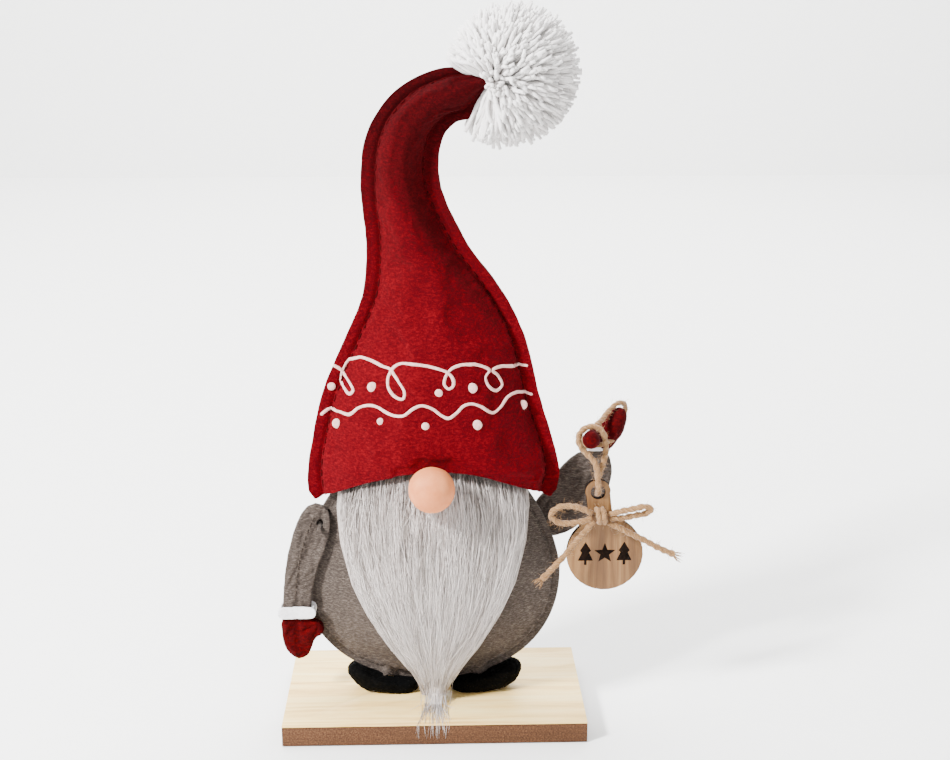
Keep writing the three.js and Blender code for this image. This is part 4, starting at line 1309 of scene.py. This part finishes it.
class TOMTE_OT_pompom(bpy.types.Operator):
    """Cut yarn ends bound at the hat's tip, the lowest ones hanging like a tassel"""

    bl_idname = "tomte.pompom"
    bl_label = "Pom-pom"

    def execute(self, context):
        settings = context.scene.tomte_pompom
        low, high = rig.box("pompom")
        centre = np.array((high.x - POMPOM_REACH * MM, (low.y + high.y) / 2, (low.z + high.z) / 2)) / MM
        radius = (high.z - low.z) / 2 / MM
        tie = centre + np.array(TIE_FROM_MIDDLE)
        draw = random.Random(21)

        lines, radii, tints = cut_ends(draw, centre, tie, radius, settings.ends, settings.yarn)
        tuft = strands("pompom_yarn", lines, radii, 6, tints, twist=0.55)
        finish(tuft, "pompom", "yarn", "pompom")

        lines, radii, tints = hanging_ends(draw, tie, settings.yarn)
        tassel = strands("pompom_long_ends", lines, radii, 8, tints, twist=0.8)
        finish(tassel, "pompom", "yarn")

        wraps = []
        for k in range(BINDING_POINTS):
            angle = 0.62 * k
            wraps.append(tie + np.array(
                (-1.6 + 0.1 * k, BINDING_RADIUS * math.cos(angle), BINDING_RADIUS * math.sin(angle))))
        binding, _, _ = twine("pompom_binding", wraps, 1.5, lay_length=4, sides=8, step=0.5)
        finish(binding, "pompom", "yarn", "pompom_tie")
        return {"FINISHED"}


# ------------------------------------------------------------------ twine, bow and tag

TWINE = 3.0
THUMB = (72.7, -8.0, 135.7)
WRIST = (77.4, 9.8, 130.4)
RING = 6.1
BOW_Y = -17.6


def thumb_ring():
    """Points of a twine that goes over the thumb, from its right side to below its left."""
    return [(THUMB[0] + RING * math.cos(a), THUMB[1], THUMB[2] + RING * math.sin(a))
            for a in np.linspace(0, 1.25 * math.pi, 6)]


def round_a_limb(tree, centre, start, turns, lift, climb):
    """Points of a twine wound round a hand or a cuff, lying on its surface."""
    centre = Vector(centre) * MM
    points = []
    for a in np.linspace(0, turns * 2 * math.pi, int(turns * 14) + 1):
        way = Vector((math.cos(a + start), math.sin(a + start), 0.12 * math.sin(a)))
        middle = centre + Vector((0, 0, climb * a * MM))
        hit = tree.ray_cast(middle + way * 0.06, -way)[0]
        hit = hit if hit is not None else middle + way * 0.004
        points.append(tuple((hit + way.normalized() * lift * MM) / MM))
    return points


def frayed_end(name, route, seed):
    """The loose fibres at a cut end of twine."""
    draw = random.Random(seed)
    tip = route[-1] / MM
    along = (route[-1] - route[-6]) / np.linalg.norm(route[-1] - route[-6])
    lines, radii = [], []
    for _ in range(34):
        out = np.array([draw.gauss(0, 1) for _ in range(3)])
        out -= along * np.dot(out, along)
        out /= np.linalg.norm(out)
        size = draw.uniform(1.5, 4.5)
        lines.append([tip - along * 1.5 + out * 0.7, tip + out * 1.0,
                      tip + along * size * 0.5 + out * (1.1 + 0.25 * size),
                      tip + along * size + out * (1.0 + draw.uniform(0.1, 0.5) * size)])
        radii.append([0.16, 0.14, 0.11, 0.05])
    return strands(name, lines, radii, 4, [draw.random() for _ in lines])


class TomteTwine(bpy.types.PropertyGroup):
    thickness: FloatProperty(name="Twine", description="Diameter of the twine in mm", default=TWINE, min=0.5)
    fuzz: FloatProperty(name="Fuzz", description="Loose fibres for each mm of twine", default=2.2, min=0)


def jute(name, body, points, diameter, *nodes, fuzz=None, fray=None, **lies):
    """A twine with its loose fibres. lies is what the cord is said to be; a knot is no cord.

    fuzz is the name, reach and seed of the fibres along it; fray is the name and seed of a cut end.
    """
    laid, route, length = twine(name, points, diameter, frayed=6 if fray else 0)
    finish(laid, body, "jute", *nodes)
    loose = []
    if fuzz:
        fuzz_name, reach, seed = fuzz
        per_mm = bpy.context.scene.tomte_twine.fuzz
        loose.append(stray_fibres(fuzz_name, route, TWINE / 2, per_mm, reach, seed))
    if fray:
        loose.append(frayed_end(fray[0], route, fray[1]))
    for piece in loose:
        finish(piece, body, "jute")
    if lies:
        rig.cord(laid, exit=route[0], length=length, diameter=diameter * MM, path=route, with_pieces=loose, **lies)


class TOMTE_OT_tag_twine(bpy.types.Operator):
    """The twine that goes round the thumb and holds the tag"""

    bl_idname = "tomte.tag_twine"
    bl_label = "Tag twine"

    def execute(self, context):
        thick = context.scene.tomte_twine.thickness
        path = [(75.9, -8.6, 111.4), (76, -7.6, 115), (79.4, -7.6, 129.7)]
        path += thumb_ring()
        path += [(74.2, -11, 125.1), (75.2, -15.4, 118), (75.6, -15.1, 113), (75.6, -12, 110.8), (75.9, -8.9, 111.2)]
        jute("tag_loop_twine", "tag_loop", path, thick, "tag_loop", fuzz=("tag_loop_fuzz", 3.0, 4),
             far_end="object", stiffness="limp", lay="hanging")

        over = [(74.6, -5.5, 141.6), (78.2, 0, 142.6), (81.6, 5, 145.2), (86.6, 9.5, 147.8), (90.4, 14.5, 146),
                (91, 19, 140), (87, 20.6, 134), (80.5, 19.6, 129.6)]
        jute("hand_twine", "right_arm", over, thick * 0.85, fuzz=("hand_twine_fuzz", 2.6, 9),
             far_end="object", stiffness="limp", lay="loose")

        hand = tree_of(frame["nodes"]["right_mitten"])
        jute("wrist_twine", "right_arm", round_a_limb(hand, WRIST, -1.0, 1.35, 1.25, 0.25), thick * 0.8,
             far_end="object", stiffness="limp", lay="coiled")
        return {"FINISHED"}


class TOMTE_OT_bow(bpy.types.Operator):
    """A twine bow knotted in front of the tag, with two frayed ends"""

    bl_idname = "tomte.bow"
    bl_label = "Bow"

    def execute(self, context):
        thick = context.scene.tomte_twine.thickness
        y = BOW_Y
        loops = {
            "left": [(72.6, y, 103), (68, y - 0.4, 105.6), (62.5, y - 0.5, 107), (57, y - 0.5, 106.4),
                     (53.6, y - 0.6, 102.9), (56.5, y - 0.8, 99.6), (62, y - 0.8, 98.8), (68, y - 0.5, 99.6),
                     (72.6, y, 101)],
            "right": [(80.6, y, 102.6), (85, y - 0.8, 104.2), (91, y - 1.2, 105.6), (96.6, y - 1.0, 106.6),
                      (99.6, y - 0.4, 105), (97.2, y + 0.4, 102.8), (91.5, y + 0.6, 101.6), (86, y + 0.3, 100.6),
                      (80.6, y, 100.8)],
        }
        tails = {
            "left": [(73.4, y, 99.6), (70.4, y - 0.9, 96), (66, y - 2.6, 91.6), (60.5, y - 4.8, 85.6),
                     (54.4, y - 6.6, 79.4), (49.2, y - 7.9, 74.3)],
            "right": [(80, y, 98.6), (84.5, y - 0.6, 96.6), (90, y - 1, 93.8), (96, y - 1, 90.7),
                      (104, y - 1, 86.2), (110.9, y - 0.6, 82.9)],
        }
        for number, (side, path) in enumerate(loops.items()):
            jute(f"bow_{side}_bend", "tag", path, thick, f"bow_loop_{side}",
                 fuzz=(f"bow_{side}_bend_fuzz", 3.2, 30 + number),
                 far_end="object", stiffness="medium", lay="loose")
        for number, (side, path) in enumerate(tails.items()):
            jute(f"bow_{side}_end", "tag", path, thick, f"bow_tail_{side}",
                 fuzz=(f"bow_{side}_end_fuzz", 3.0, 40 + number), fray=(f"bow_{side}_fray", 50 + number),
                 far_end="bare", stiffness="medium", lay="hanging")
        turns = [(74.4 + 0.33 * k, y + 2.5 * math.cos(0.9 * k), 102 + 3.1 * math.sin(0.9 * k)) for k in range(15)]
        jute("bow_knot_turns", "tag", turns, thick * 0.95, "bow_knot", fuzz=("bow_knot_fuzz", 3.0, 60))
        return {"FINISHED"}


TAG_RADIUS = 18.0


def star(x, z, size):
    """Outline of a five-pointed star, as points in X and Z."""
    turns = np.linspace(0, 2 * math.pi, 10, endpoint=False) + math.pi / 2
    return [(x + (size if k % 2 == 0 else size * 0.42) * math.cos(a),
             z + (size if k % 2 == 0 else size * 0.42) * math.sin(a)) for k, a in enumerate(turns)]


def evergreen(x, z, size):
    """Outline of a small tree of two tiers on a trunk."""
    return [(x + size * a, z + size * b) for a, b in (
        (0, 1), (0.45, 0.25), (0.22, 0.25), (0.62, -0.62), (0.1, -0.62), (0.1, -1),
        (-0.1, -1), (-0.1, -0.62), (-0.62, -0.62), (-0.22, 0.25), (-0.45, 0.25))]


def burnt_mark(name, outlines, tree):
    """Shapes burnt into a face that looks to the front: thin patches laid on it."""
    points, faces = [], []
    for outline in outlines:
        first = len(points)
        places = [tuple(np.mean(np.array(outline), axis=0)), *outline]
        points += [on_surface(tree, (x, 0, z), -1, 0.05) for x, z in places]
        faces += [(first, first + k, first + k % len(outline) + 1) for k in range(1, len(outline) + 1)]
    obj = mesh_object(name, np.array(points), faces)
    modify(obj, "SOLIDIFY", thickness=0.12 * MM, offset=0.0)
    outward(obj)
    return obj


class TOMTE_OT_tag(bpy.types.Operator):
    """A laser-cut wooden tag with a dark edge and a small burnt motif"""

    bl_idname = "tomte.tag"
    bl_label = "Tag"

    def execute(self, context):
        tag = copy_of("tag_disc", "tag")
        modify(tag, "BEVEL", width=0.3 * MM, segments=2, limit_method="ANGLE", angle_limit=math.radians(40))
        outward(tag)
        smooth(tag, 35)
        finish(tag, "tag", "tag_wood", "tag")
        tag.data.materials.append(finish_named("burnt"))
        for face in tag.data.polygons:
            if abs(face.normal.y) < 0.55:
                face.material_index = 1
        low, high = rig.box("tag")
        x, z = (low.x + high.x) / 2 / MM, low.z / MM + TAG_RADIUS
        motif = burnt_mark("tag_motif", [star(x, z, 5.0), evergreen(x - 9, z, 5.6), evergreen(x + 9, z, 5.6)],
                           tree_of(tag))
        finish(motif, "tag", "burnt", slot="tag_wood")
        return {"FINISHED"}


# ------------------------------------------------------------------ arms, shoes, base, filling and garland


def rim_segments(node):
    """The outline of a flat CAD piece, seen from the front, as segments in X and Z."""
    obj = frame["nodes"][node]
    count = {}
    for face in obj.data.polygons:
        if face.normal.y < -0.9:
            for a, b in face.edge_keys:
                count[(a, b)] = count.get((a, b), 0) + 1
    points = coordinates(obj) / MM
    edges = [edge for edge, uses in count.items() if uses == 1]
    return np.array([[points[a][[0, 2]], points[b][[0, 2]]] for a, b in edges])


def distance_to(segments, places):
    """Distance from each place to the nearest segment."""
    a, b = segments[None, :, 0], segments[None, :, 1]
    along = b - a
    share = np.clip(np.sum((places[:, None] - a) * along, -1) / np.maximum(np.sum(along * along, -1), 1e-9), 0, 1)
    return np.min(np.linalg.norm(places[:, None] - a - along * share[..., None], axis=-1), axis=1)


def felt_cutout(name, node, swell, groove, edge=1.2, voxel=0.42, rough=0.22):
    """A flat felt piece: rounded edges, a padded middle and the groove of a seam."""
    rim = rim_segments(node)
    obj = copy_of(name, node)
    modify(obj, "REMESH", mode="VOXEL", voxel_size=voxel * MM)
    points = coordinates(obj) / MM
    low, high = points[:, 1].min(), points[:, 1].max()
    middle, half = (low + high) / 2, (high - low) / 2
    inner = distance_to(rim, points[:, [0, 2]])
    away = 1 - np.minimum(inner / edge, 1)
    depth = half * (0.5 + 0.5 * np.sqrt(1 - away * away))
    depth += swell * np.clip((inner - 1) / 6, 0, 1) ** 0.7
    if groove:
        depth -= 1.2 * np.exp(-((inner - groove) / 0.7) ** 2)
    for k, point in enumerate(points):
        lump = rough * noise.noise(Vector(point) / 1.6) + 2 * rough * noise.noise(Vector(point) / 6)
        side = (point[1] - middle) / half
        grown = depth[k] + lump if side < 0 else min(depth[k], half) + 0.3 * lump
        point[1] = middle + side * grown
        point[0] += 0.5 * lump
        point[2] += 0.5 * lump
    place(obj, points * MM)
    modify(obj, "SMOOTH", factor=0.5, iterations=6)
    outward(obj)
    smooth(obj, 70)
    return obj


def tuck_in(obj, reach, rest):
    """Lays an arm close to the body: it is bent back until it nearly touches the felt behind it."""
    points = coordinates(obj) / MM
    for point in points:
        shoulder = max(0.0, min(1.0, (point[2] - 86) / 12))
        room = -rest - body_half_depth(point[0], point[2]) - 0.5
        point[1] += max(0.0, min(reach + 2.5 * shoulder, room))
        point[2] += 2.4 * shoulder
    place(obj, points * MM)


def felt_lump(name, node, voxel, rough, blunt=2.0):
    """A stuffed felt piece with a slightly uneven surface; above 2, blunt fills out its ends."""
    obj = copy_of(name, node)
    modify(obj, "REMESH", mode="VOXEL", voxel_size=voxel * MM)
    modify(obj, "SMOOTH", factor=0.5, iterations=4)
    points = coordinates(obj)
    if blunt > 2:
        middle = (points.min(axis=0) + points.max(axis=0)) / 2
        reach = (points.max(axis=0) - points.min(axis=0)) / 2
        unit = (points - middle) / reach
        round_size = np.linalg.norm(unit, axis=1)
        full_size = np.sum(np.abs(unit) ** blunt, axis=1) ** (1 / blunt)
        points = middle + unit * (round_size / np.maximum(full_size, 1e-6))[:, None] * reach
    for k, point in enumerate(points):
        lump = noise.noise(Vector(point) * 600) + 2 * noise.noise(Vector(point) * 170)
        points[k] = point + np.array(obj.data.vertices[k].normal) * lump * rough * MM
    place(obj, points)
    outward(obj)
    smooth(obj, 70)
    return obj


class TomteArms(bpy.types.PropertyGroup):
    swell: FloatProperty(name="Padding", description="How far a sleeve's middle stands out, in mm", default=0.9)
    groove: FloatProperty(name="Seam", description="Distance of the sleeve's seam from its edge in mm", default=3.7)
    tuck: FloatProperty(name="Tuck", description="How far the lowered arm is laid back against the body, in mm",
                        default=3.0)


class TOMTE_OT_arms(bpy.types.Operator):
    """Sewn grey sleeves with white cuffs and red mittens"""

    bl_idname = "tomte.arms"
    bl_label = "Arms"

    def execute(self, context):
        settings = context.scene.tomte_arms
        for side in ("left", "right"):
            body = f"{side}_arm"
            sleeve = felt_cutout(f"{side}_sleeve_felt", f"{side}_sleeve", settings.swell, settings.groove)
            finish(sleeve, body, "grey_felt", f"{side}_sleeve")
            cuff = felt_lump(f"{side}_cuff_felt", f"{side}_cuff", 0.45, 0.16)
            if side == "left":
                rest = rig.box("left_sleeve")[1].y / MM
                wire = copy_of("left_wire", "left_arm_wire")
                finish(wire, body, "steel", "left_arm_wire")
                for piece in (sleeve, wire):
                    tuck_in(piece, settings.tuck, rest)
                place(cuff, coordinates(cuff) + np.array((0, settings.tuck * MM, 0)))
                line = [(-55, 0, 100), (-58.6, 0, 92), (-61.7, 0, 82), (-63.9, 0, 70), (-65.2, 0, 57.5)]
                seam = running_stitch("left_sleeve_stitches", line, tree_of(sleeve), -1, 2.6, 0.5, 0.8)
                finish(seam, body, "grey_thread", slot="grey_felt")
            finish(cuff, body, "white_felt", f"{side}_cuff")
        mitten = felt_cutout("left_mitten_felt", "left_mitten", 1.2, 0, edge=3.0)
        place(mitten, coordinates(mitten) + np.array((0, settings.tuck * MM, 0)))
        # a darker copy of the red felt: painted shade on the mitten
        finish(mitten, "left_arm", "mitten_felt", "left_mitten", slot="red_felt")
        mitten = felt_lump("right_mitten_felt", "right_mitten", 0.42, 0.14)
        points = coordinates(mitten) / MM
        fingers = np.clip((points[:, 0] - 75.5) / 4, 0, 1)
        points[:, 0] += fingers * (0.3 * (points[:, 0] - 81.5) + 1.4)
        points[:, 2] -= fingers * 2.0
        place(mitten, points * MM)
        # a darker copy of the red felt: painted shade on the mitten
        finish(mitten, "right_arm", "mitten_felt", "right_mitten", slot="red_felt")
        for side in ("left", "right"):
            stitch = felt_lump(f"{side}_shoulder_stitch", f"{side}_shoulder_thread", 0.18, 0.05)
            finish(stitch, "root", "grey_felt", f"{side}_shoulder_thread", slot="jute")
        return {"FINISHED"}


class TOMTE_OT_shoes(bpy.types.Operator):
    """Stuffed black felt shoes"""

    bl_idname = "tomte.shoes"
    bl_label = "Shoes"

    def execute(self, context):
        for side in ("left", "right"):
            shoe = felt_lump(f"{side}_shoe_felt", f"shoe_{side}", 0.5, 0.35, blunt=2.7)
            finish(shoe, "root", "black_felt", f"shoe_{side}")
        return {"FINISHED"}


class TOMTE_OT_base(bpy.types.Operator):
    """A sawn board with a pale printed top and slightly rubbed edges"""

    bl_idname = "tomte.base"
    bl_label = "Base"

    def execute(self, context):
        for name, node, look, width in (
                ("board", "base_board", "base_edge", 0.3), ("top", "base_veneer", "base_top", 0.15)):
            piece = copy_of(f"base_{name}_piece", node)
            modify(piece, "BEVEL", width=width * MM, segments=2, limit_method="ANGLE", angle_limit=math.radians(50))
            outward(piece)
            smooth(piece, 35)
            finish(piece, "root", look, node)
        return {"FINISHED"}


class TOMTE_OT_filling(bpy.types.Operator):
    """The fibre filling inside the hat and the body, and the finish of the hidden parts"""

    bl_idname = "tomte.filling"
    bl_label = "Filling"

    def execute(self, context):
        for name, skin, body, nodes in (
                ("hat_filling", "hat", HAT_JOINT, ("hat_stuffing", "hat_tip_stuffing")),
                ("body_filling", "body", "root", ("body_stuffing",))):
            obj = copy_of(name, *nodes)
            modify(obj, "REMESH", mode="VOXEL", voxel_size=1.1 * MM)
            points = coordinates(obj)
            for side, sign in (("front", -1), ("back", 1)):
                tree = tree_of(bpy.data.objects[f"{skin}_{side}_felt"])
                for k, point in enumerate(points):
                    if point[1] * sign > 0:
                        outer = on_surface(tree, point / MM, sign, -3.1)[1] * sign
                        point[1] = sign * min(abs(point[1]), max(outer, 0.2) * MM)
            place(obj, points)
            modify(obj, "SMOOTH", factor=0.4, iterations=2)
            outward(obj)
            smooth(obj, 70)
            finish(obj, body, "fibrefill", *nodes)
            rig.padded(obj, fill=0.8)
        hidden = {"steel": ("screw_left", "screw_right", "hat_tip_wire", "right_arm_wire"),
                  "dowel_wood": ("leg_dowel_left", "leg_dowel_right")}
        for look, nodes in hidden.items():
            for node in nodes:
                data = frame["nodes"][node].data
                data.materials.clear()
                data.materials.append(finish_named(look))
        return {"FINISHED"}


# The printed garland on the hat's front, in X and Z, in mm: a looped line above a waved one.
GARLAND = [
    (-45, 170.3), (-41.4, 168), (-38.5, 164.8), (-35.6, 160.3), (-37.5, 158.5), (-40, 160.8), (-41.5, 164.7),
    (-40, 169.4), (-38.3, 172), (-32.5, 175), (-27.7, 174.6), (-22.2, 172.6), (-18.4, 171.3), (-19.6, 167.9),
    (-19.6, 163.8), (-16.9, 159.9), (-13.1, 158.8), (-12.4, 162), (-15.5, 167.3), (-17.8, 171.2), (-14.6, 174.1),
    (-9.3, 174.6), (-3.1, 174), (3.1, 172.4), (6.4, 171), (8.8, 168.4), (9.3, 165.2), (7.3, 163.5), (5.3, 165.5),
    (5.9, 169.2), (8.4, 172.4), (12, 173.8), (15.1, 174), (20.4, 173.2), (25.3, 170.5), (23.6, 167.5), (24.9, 163.4),
    (28.5, 160.6), (31.2, 162.6), (29.1, 167.5), (26.8, 170.3), (30, 171.2), (35.6, 170.5), (43.7, 169.2),
]
WAVE = [
    (-51.4, 146.6), (-47.5, 149.5), (-42.4, 149.9), (-37.6, 149.4), (-33.3, 152.9), (-29.6, 154.6), (-25.5, 154.7),
    (-20, 152.1), (-17, 151.3), (-13, 151.8), (-8.5, 155.1), (-4.7, 156.4), (0, 154.8), (3.8, 151.8), (7, 150.4),
    (10.7, 152.7), (13.8, 155.6), (17, 156.3), (21.4, 154.8), (27, 151.1), (30, 152.7), (34, 157.1), (38, 158.1),
    (46, 155.5),
]
DOTS = [
    (-46, 160.2, 1.9), (-26.8, 163, 2.4), (2.7, 161.8, 1.85), (17.6, 163.3, 2.4), (41, 151.8, 2.3),
    (-43.4, 144.3, 2.35), (-23.3, 148, 1.7), (-3.3, 147, 1.8), (19.7, 146.7, 2.4),
]


class TomtePrint(bpy.types.PropertyGroup):
    line: FloatProperty(name="Line", description="Width of the printed line in mm", default=1.6, min=0.2)


class TOMTE_OT_garland(bpy.types.Operator):
    """A garland of puffed paint on the front of the hat"""

    bl_idname = "tomte.garland"
    bl_label = "Garland"

    def execute(self, context):
        settings = context.scene.tomte_print
        tree = tree_of(bpy.data.objects["hat_front_felt"])
        for name, path in (("garland_loops", GARLAND), ("garland_wave", WAVE)):
            route, _ = smooth_route([(x, 0, z) for x, z in path], 0.5)
            line = [on_surface(tree, p, -1, -0.4) for p in route]
            size = [settings.line / 2 * (1 + 0.22 * noise.noise(Vector((k * 0.08, 3, 5)))) for k in range(len(line))]
            size[0] = size[-1] = 0.4 * settings.line / 2
            print_line = strands(name, [line], [size], 10, [0.5])
            finish(print_line, "root", "print", slot="red_felt")
        for number, (x, z, radius) in enumerate(DOTS):
            deselect()
            bpy.ops.mesh.primitive_uv_sphere_add(
                segments=24, ring_count=14, radius=radius * MM,
                location=Vector(on_surface(tree, (x, 0, z), -1, -0.1)) * MM, scale=(1, 0.36, 1))
            dot = settle(bpy.context.active_object, f"garland_dot_{number + 1}")
            smooth(dot, 80)
            finish(dot, "root", "print", slot="red_felt")
        return {"FINISHED"}


# ------------------------------------------------------------------ panel, registration and the run

GROUPS = ("tomte_felt", "tomte_stage", "tomte_fur", "tomte_pompom", "tomte_twine", "tomte_arms", "tomte_print")
SETTINGS = (TomteFelt, TomteStage, TomteFur, TomtePompom, TomteTwine, TomteArms, TomtePrint)
STEPS = (
    TOMTE_OT_stage, TOMTE_OT_tag_twine, TOMTE_OT_bow, TOMTE_OT_tag, TOMTE_OT_hat, TOMTE_OT_body,
    TOMTE_OT_garland, TOMTE_OT_arms, TOMTE_OT_shoes, TOMTE_OT_base, TOMTE_OT_filling, TOMTE_OT_beard,
    TOMTE_OT_nose, TOMTE_OT_pompom,
)


class TOMTE_PT_panel(bpy.types.Panel):
    """Lists the steps that make the figure"""

    bl_idname = "TOMTE_PT_panel"
    bl_label = "Felt tomte"
    bl_space_type = "VIEW_3D"
    bl_region_type = "UI"
    bl_category = "Tomte"

    def draw(self, context):
        for group in GROUPS:
            settings = getattr(context.scene, group)
            for name in settings.__annotations__:
                self.layout.prop(settings, name)
        for step in STEPS:
            self.layout.operator(step.bl_idname)


def register():
    for each in (*SETTINGS, *STEPS, TOMTE_PT_panel):
        bpy.utils.register_class(each)
    for group, kind in zip(GROUPS, SETTINGS):
        setattr(bpy.types.Scene, group, PointerProperty(type=kind))


def unregister():
    for group in GROUPS:
        delattr(bpy.types.Scene, group)
    for each in reversed((*SETTINGS, *STEPS, TOMTE_PT_panel)):
        bpy.utils.unregister_class(each)


def make_tomte():
    register()
    for step in STEPS:
        group, name = step.bl_idname.split(".")
        getattr(getattr(bpy.ops, group), name)()
    sizes = {"cad": [list(corner) for corner in CAD_BOX], "visual": [list(corner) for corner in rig.bounds()]}
    with open("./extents.json", "w") as file:
        json.dump(sizes, file)


if __name__ == "__main__":
    make_tomte()
